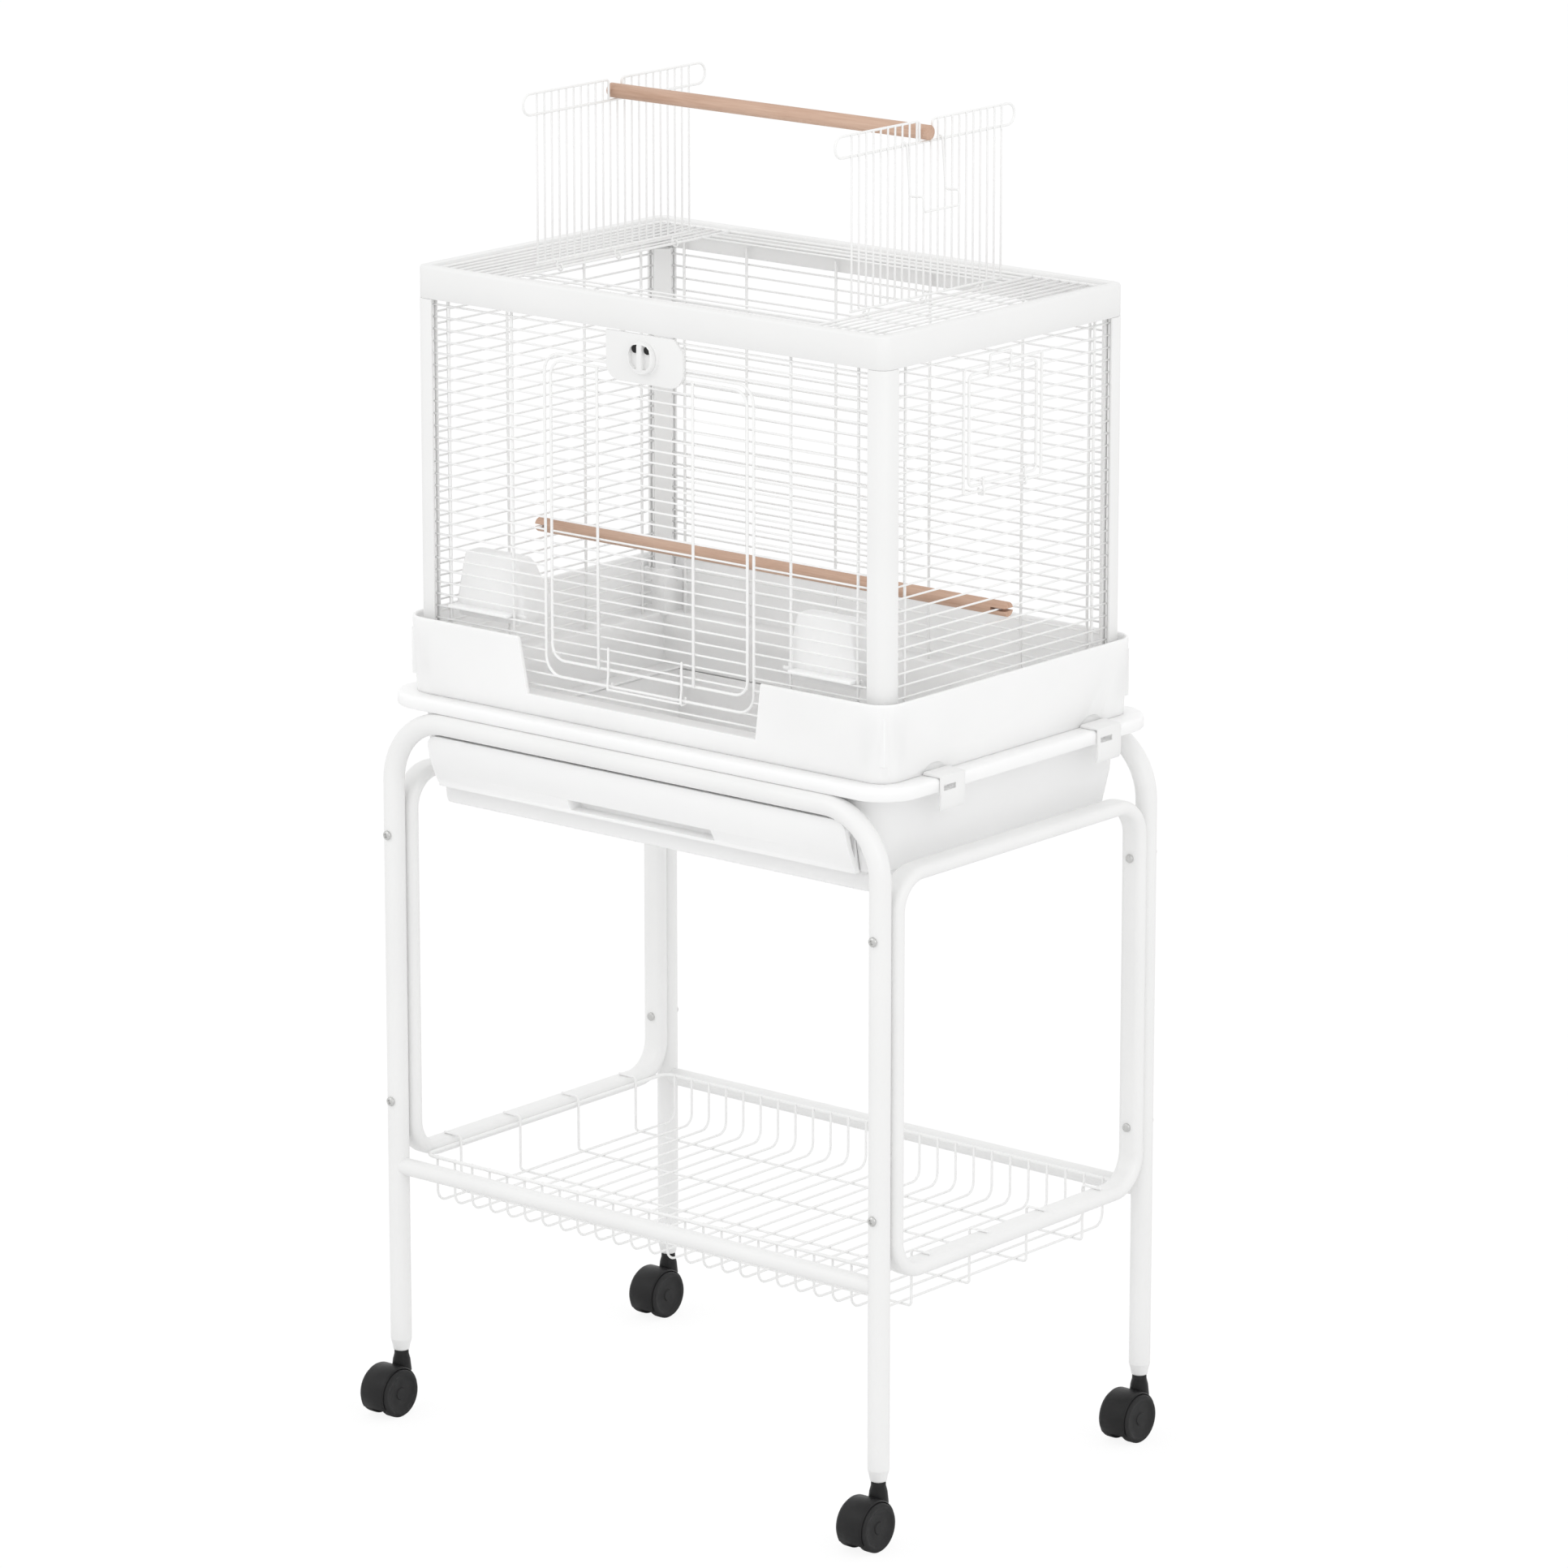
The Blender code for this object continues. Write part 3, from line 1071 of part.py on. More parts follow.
def build():
    white_paint = make_material("white_paint", (0.86, 0.86, 0.85), 0.35)
    white_plastic = make_material("white_plastic", (0.88, 0.88, 0.87), 0.45)
    grey_plastic = make_material("grey_plastic", (0.62, 0.62, 0.61), 0.55)
    white_wire = make_material("white_wire", (0.90, 0.90, 0.89), 0.30)
    black_plastic = make_material("black_plastic", (0.03, 0.03, 0.03), 0.50)
    steel = make_material("steel", (0.55, 0.55, 0.55), 0.30, 1.0)
    wood = make_material("wood", (0.55, 0.33, 0.16), 0.60)

    corners = {"front_left": (-1, -1), "front_right": (1, -1), "rear_left": (-1, 1), "rear_right": (1, 1)}
    portal("front_portal", -LEG_Y, white_paint)
    portal("rear_portal", LEG_Y, white_paint)
    lower_rail("front_lower_rail", -LEG_Y, white_paint)
    lower_rail("rear_lower_rail", LEG_Y, white_paint)
    side_loop("left_side_loop", -LEG_X, white_paint)
    side_loop("right_side_loop", LEG_X, white_paint)
    basket("basket", white_wire)
    for corner, (sx, sy) in corners.items():
        x, y = sx * LEG_X, sy * LEG_Y
        frame_bolt(f"bolt_low_{corner}", x, y, BOLT_LOW, steel)
        frame_bolt(f"bolt_high_{corner}", x, y, BOLT_HIGH, steel)
        caster_stem(f"caster_stem_{corner}", x, y, steel)
        caster_hood(f"caster_hood_{corner}", x, y, black_plastic)
        caster_wheels(f"caster_wheels_{corner}", x, y, black_plastic)
        post(f"post_{corner}", sx, sy, white_plastic)

    lower_tray("lower_tray", white_plastic)
    drawer("drawer", white_plastic)
    base("base", white_plastic)
    for side, side_name in ((-1, "left"), (1, "right")):
        side_clip(f"clip_front_{side_name}", side, CLIP_Y[0], white_plastic)
        side_clip(f"clip_rear_{side_name}", side, CLIP_Y[1], white_plastic)

    front_hole = (DOOR_FRAME_X, row_z(DOOR_FRAME_ROW), DOOR_FRAME_TOP)
    holed_panel("front_panel", FRONT, LONG_BARS, front_hole, DOOR_BEND, white_wire)
    plain_panel("rear_panel", REAR, LONG_BARS, white_wire)
    plain_panel("left_panel", LEFT, SHORT_BARS, white_wire)
    side_hole = (SIDE_FRAME_Y + BAR_R, row_z(SIDE_DOOR_LOW_ROW), row_z(SIDE_DOOR_HIGH_ROW))
    holed_panel("right_panel", RIGHT, SHORT_BARS, side_hole, 0.003, white_wire)
    front_door("front_door", white_wire)
    latch_plate("latch_plate", white_plastic)
    latch_knob("latch_knob", white_plastic)
    side_door("side_door", white_wire)
    rim("rim", white_plastic)
    roof("roof", white_wire)
    gate("left_gate", -1, white_wire)
    gate("right_gate", 1, white_wire)
    gate_clasp("gate_clasp", white_wire)
    perch("top_perch", -GATE_X - TOP_PERCH_OVER[0], GATE_X + TOP_PERCH_OVER[1], TOP_PERCH_Z, wood)
    low_perch("lower_perch", wood)
    feeder("feeder_left", -1, white_plastic)
    feeder("feeder_right", 1, white_plastic)


clear_scene()
build()
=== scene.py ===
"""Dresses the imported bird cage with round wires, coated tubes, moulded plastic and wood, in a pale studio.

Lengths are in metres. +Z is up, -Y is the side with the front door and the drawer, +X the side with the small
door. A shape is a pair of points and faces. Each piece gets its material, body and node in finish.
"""

import math

import bmesh
import bpy
from mathutils import Matrix, Vector


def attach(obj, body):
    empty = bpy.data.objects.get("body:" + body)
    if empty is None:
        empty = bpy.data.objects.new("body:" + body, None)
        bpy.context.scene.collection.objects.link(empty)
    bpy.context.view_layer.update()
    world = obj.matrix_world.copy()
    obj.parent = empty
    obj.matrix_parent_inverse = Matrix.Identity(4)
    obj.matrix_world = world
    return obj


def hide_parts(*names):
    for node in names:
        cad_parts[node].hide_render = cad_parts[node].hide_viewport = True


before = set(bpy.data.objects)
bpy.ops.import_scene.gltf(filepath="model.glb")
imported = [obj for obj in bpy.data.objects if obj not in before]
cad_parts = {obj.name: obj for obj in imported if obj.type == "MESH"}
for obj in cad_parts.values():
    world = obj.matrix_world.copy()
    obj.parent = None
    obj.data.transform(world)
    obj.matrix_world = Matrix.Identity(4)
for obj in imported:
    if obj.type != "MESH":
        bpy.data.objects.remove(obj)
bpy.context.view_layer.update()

ROOT = "cage_on_stand"
GAP = 0.0003  # between pieces that move or meet

# Stand
LEG_X = 0.32125
LEG_Y = 0.2145
TUBE_R = 0.011
FOOT_Z = 0.066
NECK_HIGH = 0.012
PORTAL_TOP = 0.760
PORTAL_BEND = 0.069
LOOP_Y = 0.1957
LOOP_LOW = 0.2757
LOOP_HIGH = 0.6825
LOOP_BEND = 0.036
LOOP_WIDE = 0.027
LOOP_THICK = 0.015
RAIL_R = 0.009
RAIL_Z = 0.2674
BOLT_ROWS = (0.3385, 0.6236)
HEAD_SUNK = 0.0004
NUT_SUNK = 0.0002
WHEEL_R = 0.0255
WHEEL_IN = 0.0072
WHEEL_OUT = 0.0185
TRAIL = 0.020  # from the stem forwards to the axle
HOOD_R = 0.0278
HOOD_HALF = 0.016
HOOD_EDGE = 0.0022
HOOD_LOW = 0.011
COLLAR_UP = 0.018
WEB_HALF = 0.0065
WELL_R = 0.0264
AXLE_R = 0.0033
STEM_LOW = 0.038

# Basket
BASKET_X = 0.3048
BASKET_Y = 0.192
BASKET_FLOOR = 0.228
BASKET_RIM_Z = 0.2767
BASKET_RIM_R = 0.0019
BASKET_BEND = 0.012
BASKET_WIRES = 25
BASKET_WIRE_R = 0.00125
BASKET_WIRE_INSET = 0.0026
BASKET_SPAN = 2 * BASKET_X - 0.030
BASKET_LONG_Y = (-0.1395, -0.0465, 0.0465, 0.1395)
BASKET_LONG_R = 0.0013
BASKET_LONG_INSET = 0.0028
BASKET_LONG_DROP = 0.0024
BASKET_HOOK_X = LEG_X + 0.004
BASKET_HOOK_Z = LOOP_LOW + LOOP_THICK / 2 + 0.0016

# Tray, drawer and base
FLANGE_X = 0.3355
FLANGE_Y = 0.2185
FLANGE_R = 0.043
FLANGE_LOW = 0.7603
FLANGE_TOP = 0.7738
TUB_X = 0.306
TUB_Y = 0.2005
TUB_R = 0.034
TUB_WALL = 0.0025
TUB_BOTTOM = 0.657
STEP_Z = 0.6785
TUCK = 0.011  # by how much the tub has narrowed at its step
RIB_X = 0.2
RIB_HALF = 0.003
RIB_END = TUB_Y - 0.024
DRAWER_HALF = 0.2755
DRAWER_LOW = STEP_Z + GAP
DRAWER_TOP = 0.735
DRAWER_CORNER = 0.012
DRAWER_INSET = 0.006
DRAWER_DEEP = 0.372
DRAWER_WALL = 0.0025
FINGER_HALF = 0.095
FINGER_DEEP = 0.0195
FINGER_Z = (DRAWER_LOW + 0.0035, DRAWER_LOW + 0.0155)
OPENING_SIDE = 0.0006
OPENING_TOP = 0.0005
BASE_X = 0.318
BASE_Y = 0.203
BASE_R = 0.026
BASE_LOW = 0.7741
BASE_TOP = 0.8536
LEDGE_TOP = 0.7935
LEDGE_INSET = 0.0300
SKIRT_LOW = 0.7356
SKIRT_INSET = 0.0276
SHELF_X = (0.2655, BASE_X - 0.0290)
SHELF_Y = 0.1735
SHELF_THICK = 0.0024
SOCKET_TOP = 0.840
SOCKET_INNER = 0.0025
SOCKET_OUTER = 0.005
NOTCH_LOW = 0.795
NOTCH_HALF = (0.150, 0.161)
CLIP_Y = (-0.122, 0.130)
CLIP_HALF = 0.019
CLIP_HANG = 0.020
SLOT_HALF = 0.0095
SLOT_SHIFT = 0.005  # forwards from the middle of the clip
SLOT_X = (0.3265, 0.36)
SLOT_Z = (FLANGE_LOW + 0.0006, FLANGE_LOW + 0.0062)
THUMB_X = BASE_X - 0.0042
THUMB_HALF = 0.018
THUMB_LOW = BASE_LOW - 0.002
THUMB_HIGH = 0.0117

# Cage
CAGE_X = 0.306
CAGE_Y = 0.191
CAGE_LOW = 0.7938
RIM_LOW = 1.1822
RIM_TOP = 1.2151
POST_TOP = RIM_LOW - GAP
POST_FACE = 0.022
POST_ARM = 0.010
POST_R = 0.0125
PANEL_X = 0.3005
PANEL_Y = 0.1855
ROWS = 31
ROW_PITCH = 0.01247
ROW_FIRST = 0.8024
ROW_R = 0.00105
BAR_R = 0.0015
BAR_TOP = RIM_LOW + 0.012
BAR_BEHIND = ROW_R + BAR_R - 0.0003  # sunk a little into the rows
BORDER = 0.0028
LONG_BARS = (0.062, 0.182, 0.267)
SHORT_BARS = (0.060, 0.150)

# Doors and their latch
SILL_ROW = 1
DOOR_FRAME_X = 0.1365
DOOR_FRAME_TOP = 1.14596
DOOR_BEND = 0.020
DOOR_GAP = 0.0065
DOOR_BARS = (-0.0650, 0.0600)
DOOR_HOOKS = (-0.0520, 0.0445)
SIDE_ROWS = (19, 29)
SIDE_FRAME = 0.0618
SIDE_HALF = 0.0535
SIDE_HOOK = 0.020
SIDE_TAB = (-0.025, 0.008)
HOOK_R = 0.0012
HOOK_NEAR = 0.0024
HOOK_CLEAR = 0.0037
HOOK_DROP = 0.0038
PLATE_ROWS = (28, 29)
PLATE_HALF = 0.050
PLATE_LOW = 1.131
PLATE_TOP = 1.1805
PLATE_BEND = 0.017
PLATE_CUT = (0.0385, 0.0125)
PLATE_BACK = -PANEL_Y - 0.0024
PLATE_FRONT = PLATE_BACK - 0.003
BOSS_HIGH = 0.0015
KNOB_BACK = PLATE_FRONT - BOSS_HIGH - GAP
KNOB_DEEP = 0.006
GRIP_HALF = 0.0029
GRIP_REACH = 0.0125
CAM_HALF = 0.009
CAM_FRONT = -PANEL_Y + 0.0015

# Roof, gates and perches
ROOF_Z = 1.2105
ROOF_INSET = 0.0139
ROOF_SIDE_WIRES = 8
ROOF_ROWS = (0.1309, 0.1463, 0.1617)
HINGE_X = 0.199
GATE_X = 0.202
GATE_LOW = ROOF_Z + 0.0076
GATE_TOP = 1.392
CHORD_Z = 1.3706  # the lower long side of the gate loops
GATE_HALF_Y = 0.1407
GATE_LOOP_R = 0.0013
GATE_WIRES = 22
GATE_WIRE_R = 0.00105
GATE_WIRE_OUT = 0.0021
GATE_PITCH = 0.0112
GATE_NOTCH = 0.010
GATE_RINGS = (-8 * GATE_PITCH, 0, 8 * GATE_PITCH)
RING_R = 0.0034
RING_WIRE_R = 0.0009
CLASP_EYE_R = 0.0032
CLASP_WIRE_R = 0.0011
CLASP_OUT = 0.020
CLASP_Y = (-3 * GATE_PITCH, 2 * GATE_PITCH)
PERCH_R = 0.0075
PERCH_TOP_HALF = 0.208
PERCH_LOW_HALF = 0.310
PERCH_LOW_ROW = 9
PERCH_SLOT = (0.292, 0.32)

# Feeders
FEEDER_X = 0.219
FEEDER_FRONT = -0.1789
FEEDER_LOW = 0.8575
FEEDER_TOP = 0.925
FEEDER_WALL = 0.002
FEEDER_RAIL = (0.1848, 0.2642)
FEEDER_RAIL_THICK = 0.003


def row_z(row):
    """The height of a row of wire, counted from the lowest."""
    return ROW_FIRST + row * ROW_PITCH


# Angles and outlines

def full_turn(steps):
    return [2 * math.pi * i / steps for i in range(steps)]


def quarter_turn(steps):
    return [math.pi / 2 * i / steps for i in range(steps + 1)]


def circle(radius, sides):
    return [(radius * math.cos(a), radius * math.sin(a)) for a in full_turn(sides)]


def oval(wide, thick, steps=9):
    radius = thick / 2
    reach = wide / 2 - radius
    return [(side * (reach + radius * math.cos(a)), side * radius * math.sin(a))
            for side in (1, -1) for a in (math.pi * i / steps - math.pi / 2 for i in range(steps + 1))]


def rectangle(half_x, half_y, z):
    return [(-half_x, -half_y, z), (half_x, -half_y, z), (half_x, half_y, z), (-half_x, half_y, z)]


def rectangle_ring(half_x, half_y, radius, z, steps=10):
    """A level rectangle with rounded corners. The least radius keeps its points apart."""
    radius = max(radius, 0.0015)
    points = []
    for index, (sx, sy) in enumerate(((1, 1), (-1, 1), (-1, -1), (1, -1))):
        for step in range(steps + 1):
            angle = math.pi / 2 * (index + step / steps)
            points.append(Vector((sx * (half_x - radius) + radius * math.cos(angle),
                                  sy * (half_y - radius) + radius * math.sin(angle), z)))
    return points


def round_ring(centre, side, up, radius, sides):
    return [centre + radius * (side * math.cos(a) + up * math.sin(a)) for a in full_turn(sides)]


def rounded(points, radius, steps, closed=False):
    """A polyline with arcs for corners."""
    points = [Vector(point) for point in points]
    path = []
    for i, corner in enumerate(points):
        if not closed and i in (0, len(points) - 1):
            path.append(corner)
            continue
        back = (points[i - 1] - corner).normalized()
        ahead = (points[(i + 1) % len(points)] - corner).normalized()
        half = back.angle(ahead) / 2
        run = radius / math.tan(half)
        centre = corner + (back + ahead).normalized() * radius / math.sin(half)
        start = corner + back * run - centre
        end = corner + ahead * run - centre
        turn = start.angle(end)
        for step in range(steps + 1):
            share = step / steps
            spoke = start * math.sin((1 - share) * turn) + end * math.sin(share * turn)
            path.append(centre + spoke / math.sin(turn))
    return path


def tangents(path, closed):
    count = len(path)
    result = []
    for i, point in enumerate(path):
        into = (point - path[i - 1]).normalized() if closed or i > 0 else None
        out = (path[(i + 1) % count] - point).normalized() if closed or i < count - 1 else None
        result.append(((into or out) + (out or into)).normalized())
    return result


# Shapes

def merged(shapes):
    points = []
    faces = []
    for some_points, some_faces in shapes:
        start = len(points)
        points += some_points
        faces += [tuple(start + index for index in face) for face in some_faces]
    return points, faces


def lofted(rings, closed=False):
    """A skin over rings of equal count, either closed on itself or with a cap at each end."""
    count = len(rings[0])
    points = [point for ring in rings for point in ring]
    faces = []
    for i in range(len(rings) if closed else len(rings) - 1):
        a = i * count
        b = (i + 1) % len(rings) * count
        faces += [(a + j, a + (j + 1) % count, b + (j + 1) % count, b + j) for j in range(count)]
    if not closed:
        faces.append(tuple(range(count)))
        faces.append(tuple(range((len(rings) - 1) * count, len(rings) * count)))
    return points, faces


def wire(path, radius, sides, closed=False):
    """A round wire along any path, with softened ends."""
    path = [Vector(point) for point in path]
    along = tangents(path, closed)
    side = along[0].orthogonal().normalized()
    rings = []
    for i, point in enumerate(path):
        if i:
            side = along[i - 1].rotation_difference(along[i]) @ side
        side = (side - along[i] * side.dot(along[i])).normalized()
        rings.append(round_ring(point, side, along[i].cross(side), radius, sides))

    def cap(index, way):
        ease = radius * 0.35
        centre = path[index]
        return [centre + (point - centre) * 0.7 + along[index] * way * ease for point in rings[index]]

    return lofted(rings if closed else [cap(0, -1), *rings, cap(-1, 1)], closed)


def swept(path, normal, section, closed=False):
    """A section swept along a flat path. Section points are (out of plane, in plane)."""
    normal = Vector(normal)
    path = [Vector(point) for point in path]
    rings = []
    for point, along in zip(path, tangents(path, closed)):
        side = along.cross(normal).normalized()
        rings.append([point + normal * u + side * v for u, v in section])
    return lofted(rings, closed)


def turned(start, direction, profile, sides=32):
    """A body turned about a straight axis. Profile points are (way along, radius)."""
    start = Vector(start)
    direction = Vector(direction).normalized()
    side = direction.orthogonal().normalized()
    up = direction.cross(side)
    return lofted([round_ring(start + direction * way, side, up, radius, sides) for way, radius in profile])


def rod(start, direction, length, radius, sides):
    return turned(start, direction, ((0, radius), (length, radius)), sides)


def walls(half_x, half_y, corner, profile):
    """A wall section taken round a rounded rectangle. Profile points are (inset, height)."""
    return lofted([rectangle_ring(half_x - inset, half_y - inset, corner - inset, z)
                   for inset, z in profile], True)


def block(corner, opposite):
    xs, ys, zs = (sorted(pair) for pair in zip(corner, opposite))
    outline = ((xs[0], ys[0]), (xs[1], ys[0]), (xs[1], ys[1]), (xs[0], ys[1]))
    return lofted([[Vector((x, y, z)) for x, y in outline] for z in zs])


def prism(outline, low, high, along):
    """A flat outline drawn out along one axis."""
    place = {"x": lambda a, b, c: Vector((c, a, b)), "y": lambda a, b, c: Vector((a, c, b)),
             "z": lambda a, b, c: Vector((a, b, c))}[along]
    return lofted([[place(a, b, c) for a, b in outline] for c in (low, high)])


# Objects

def build_object(name, shape):
    points, faces = shape
    mesh = bpy.data.meshes.new(name)
    mesh.from_pydata([tuple(point) for point in points], [], faces)
    work = bmesh.new()
    work.from_mesh(mesh)
    bmesh.ops.recalc_face_normals(work, faces=work.faces)
    work.to_mesh(mesh)
    work.free()
    obj = bpy.data.objects.new(name, mesh)
    bpy.context.scene.collection.objects.link(obj)
    return obj


def apply_modifiers(obj):
    bpy.context.view_layer.update()
    graph = bpy.context.evaluated_depsgraph_get()
    result = bpy.data.meshes.new_from_object(obj.evaluated_get(graph))
    obj.modifiers.clear()
    obj.data = result


def boolean(obj, shape, operation):
    other = build_object("cutter", shape)
    modifier = obj.modifiers.new("cut", "BOOLEAN")
    modifier.operation = operation
    modifier.solver = "EXACT"
    modifier.object = other
    apply_modifiers(obj)
    bpy.data.objects.remove(other, do_unlink=True)


def cut(obj, shape):
    boolean(obj, shape, "DIFFERENCE")


def weld(obj, shape):
    boolean(obj, shape, "UNION")


def soften(obj, width, degrees, segments=2):
    modifier = obj.modifiers.new("soft edges", "BEVEL")
    modifier.width = width
    modifier.segments = segments
    modifier.limit_method = "ANGLE"
    modifier.angle_limit = math.radians(degrees)
    modifier.use_clamp_overlap = True
    apply_modifiers(obj)


def finish(obj, material, slot, body, *nodes, smooth=45):
    obj.data.materials.clear()
    obj.data.materials.append(material)
    obj.data.shade_smooth()
    obj.data.set_sharp_from_angle(angle=math.radians(smooth))
    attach(obj, body)
    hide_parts(*nodes)


# Materials

def new_material(name, colour, roughness, metallic=0.0):
    material = bpy.data.materials.new(name)
    material.use_nodes = True
    tree = material.node_tree
    shader = tree.nodes["Principled BSDF"]
    shader.inputs["Base Color"].default_value = (*colour, 1)
    shader.inputs["Roughness"].default_value = roughness
    shader.inputs["Metallic"].default_value = metallic
    return material, tree, shader


def noise(tree, scale, detail, stretch=(1, 1, 1), roughness=0.5):
    place = tree.nodes.new("ShaderNodeTexCoord")
    shape = tree.nodes.new("ShaderNodeMapping")
    shape.inputs["Scale"].default_value = stretch
    texture = tree.nodes.new("ShaderNodeTexNoise")
    texture.inputs["Scale"].default_value = scale
    texture.inputs["Detail"].default_value = detail
    texture.inputs["Roughness"].default_value = roughness
    tree.links.new(place.outputs["Object"], shape.inputs["Vector"])
    tree.links.new(shape.outputs["Vector"], texture.inputs["Vector"])
    return texture.outputs["Fac"]


def maths(tree, operation, *values):
    """A maths node. Its values are numbers or sockets."""
    node = tree.nodes.new("ShaderNodeMath")
    node.operation = operation
    for socket, value in zip(node.inputs, values):
        if isinstance(value, float):
            socket.default_value = value
        else:
            tree.links.new(value, socket)
    return node.outputs["Value"]


def ramp(tree, value, stops):
    node = tree.nodes.new("ShaderNodeValToRGB")
    elements = node.color_ramp.elements
    while len(elements) < len(stops):
        elements.new(0.5)
    for element, (at, colour) in zip(elements, stops):
        element.position = at
        element.color = (*colour, 1)
    tree.links.new(value, node.inputs["Fac"])
    return node.outputs["Color"]


def spread(tree, value, low, high):
    """Stretches the middle of a noise over a range."""
    node = tree.nodes.new("ShaderNodeMapRange")
    node.inputs["From Min"].default_value = 0.3
    node.inputs["From Max"].default_value = 0.7
    node.inputs["To Min"].default_value = low
    node.inputs["To Max"].default_value = high
    tree.links.new(value, node.inputs["Value"])
    return node.outputs["Result"]


def bump(tree, shader, value, strength, distance):
    node = tree.nodes.new("ShaderNodeBump")
    node.inputs["Strength"].default_value = strength
    node.inputs["Distance"].default_value = distance
    tree.links.new(value, node.inputs["Height"])
    tree.links.new(node.outputs["Normal"], shader.inputs["Normal"])


def coating(name, colour, rough, grain, depth, mottle=0.02, shine=0.5, glow=0.0):
    """A sprayed or moulded surface: faint colour drift, uneven gloss and a fine skin texture.

    Glow is the share of light that goes into the plastic and comes out again through a thin wall.
    """
    material, tree, shader = new_material(name, colour, rough)
    shader.inputs["Specular IOR Level"].default_value = shine
    shader.inputs["Subsurface Weight"].default_value = glow
    shader.inputs["Subsurface Radius"].default_value = (1, 1, 1)
    shader.inputs["Subsurface Scale"].default_value = 0.006
    drift = noise(tree, scale=9.0, detail=4.0)
    darker = tuple(c * (1 - mottle) for c in colour)
    tree.links.new(ramp(tree, drift, ((0.35, darker), (0.65, colour))), shader.inputs["Base Color"])
    gloss = noise(tree, scale=grain * 0.15, detail=3.0)
    tree.links.new(spread(tree, gloss, rough - 0.05, rough + 0.06), shader.inputs["Roughness"])
    skin = noise(tree, scale=grain, detail=2.0, roughness=0.6)
    bump(tree, shader, skin, strength=0.35, distance=depth)
    return material


def wooden(name):
    """Pale turned hardwood: long fibres, growth bands and open pores along X."""
    material, tree, shader = new_material(name, (0.62, 0.41, 0.30), 0.55)
    bands = noise(tree, scale=42.0, detail=5.0, stretch=(0.10, 1, 1), roughness=0.6)
    fibres = noise(tree, scale=620.0, detail=4.0, stretch=(0.035, 1, 1), roughness=0.65)
    grain = maths(tree, "MULTIPLY_ADD", fibres, 0.45, maths(tree, "MULTIPLY", bands, 0.55))
    stops = ((0.34, (0.46, 0.275, 0.185)), (0.50, (0.585, 0.385, 0.283)), (0.66, (0.665, 0.465, 0.353)))
    tree.links.new(ramp(tree, grain, stops), shader.inputs["Base Color"])
    tree.links.new(spread(tree, fibres, 0.50, 0.68), shader.inputs["Roughness"])
    bump(tree, shader, fibres, strength=0.4, distance=0.00012)
    return material


def brushed(name, colour, rough):
    material, tree, shader = new_material(name, colour, rough, metallic=1.0)
    streaks = noise(tree, scale=500.0, detail=2.0, stretch=(1, 1, 0.06))
    tree.links.new(spread(tree, streaks, rough - 0.06, rough + 0.10), shader.inputs["Roughness"])
    bump(tree, shader, streaks, strength=0.2, distance=0.00005)
    return material


PAINT = coating("powder_coat_white", (0.885, 0.885, 0.88), rough=0.34, grain=700.0, depth=0.00010)
WIRE = coating("wire_coat_white", (0.93, 0.93, 0.925), rough=0.32, grain=1400.0, depth=0.00006)
PLASTIC = coating("moulded_white", (0.885, 0.885, 0.88), rough=0.42, grain=1100.0, depth=0.00007)
TRAY = coating("moulded_tray_white", (0.975, 0.975, 0.972), rough=0.40, grain=1100.0, depth=0.00007, glow=0.5)
BASE = coating("moulded_base_white", (0.915, 0.915, 0.912), rough=0.42, grain=1100.0, depth=0.00007, glow=0.5)
HOOD = coating("moulded_black_hood", (0.009, 0.009, 0.0094), rough=0.42, grain=1500.0, depth=0.00008,
               mottle=0.15, shine=0.28)
TYRE = coating("moulded_black_wheel", (0.018, 0.018, 0.0185), rough=0.55, grain=900.0, depth=0.00010,
               mottle=0.15, shine=0.28)
STEEL = brushed("plated_steel", (0.62, 0.62, 0.61), rough=0.30)
WOOD = wooden("turned_wood")


def make_tube(node, shape):
    finish(build_object(f"{node}_tube", shape), PAINT, "white_paint", ROOT, node)


def make_wires(body, node, shapes):
    finish(build_object(f"{node}_wires", merged(shapes)), WIRE, "white_wire", body, node)


# The stand

def make_portal(node, y):
    """A tube bent over two legs, each drawn in to a neck at the caster."""
    top = PORTAL_TOP - TUBE_R
    low = FOOT_Z + NECK_HIGH
    corners = [(-LEG_X, y, low), (-LEG_X, y, top), (LEG_X, y, top), (LEG_X, y, low)]
    shapes = [swept(rounded(corners, PORTAL_BEND, 14), (0, 1, 0), circle(TUBE_R, 32))]
    neck = ((0, 0.0072), (0.0006, 0.0082), (0.002, 0.0086), (0.006, 0.0092), (0.010, 0.0104),
            (0.0125, 0.01095))
    shapes += [turned((x, y, FOOT_Z), (0, 0, 1), neck) for x in (-LEG_X, LEG_X)]
    make_tube(node, merged(shapes))


def make_loop(node, x):
    corners = [(x, -LOOP_Y, LOOP_LOW), (x, LOOP_Y, LOOP_LOW), (x, LOOP_Y, LOOP_HIGH), (x, -LOOP_Y, LOOP_HIGH)]
    path = rounded(corners, LOOP_BEND, 12, True)
    make_tube(node, swept(path, (1, 0, 0), oval(LOOP_WIDE, LOOP_THICK), True))


def make_rail(node, y):
    reach = LEG_X - TUBE_R * 0.6
    make_tube(node, rod((-reach, y, RAIL_Z), (1, 0, 0), 2 * reach, RAIL_R, 32))


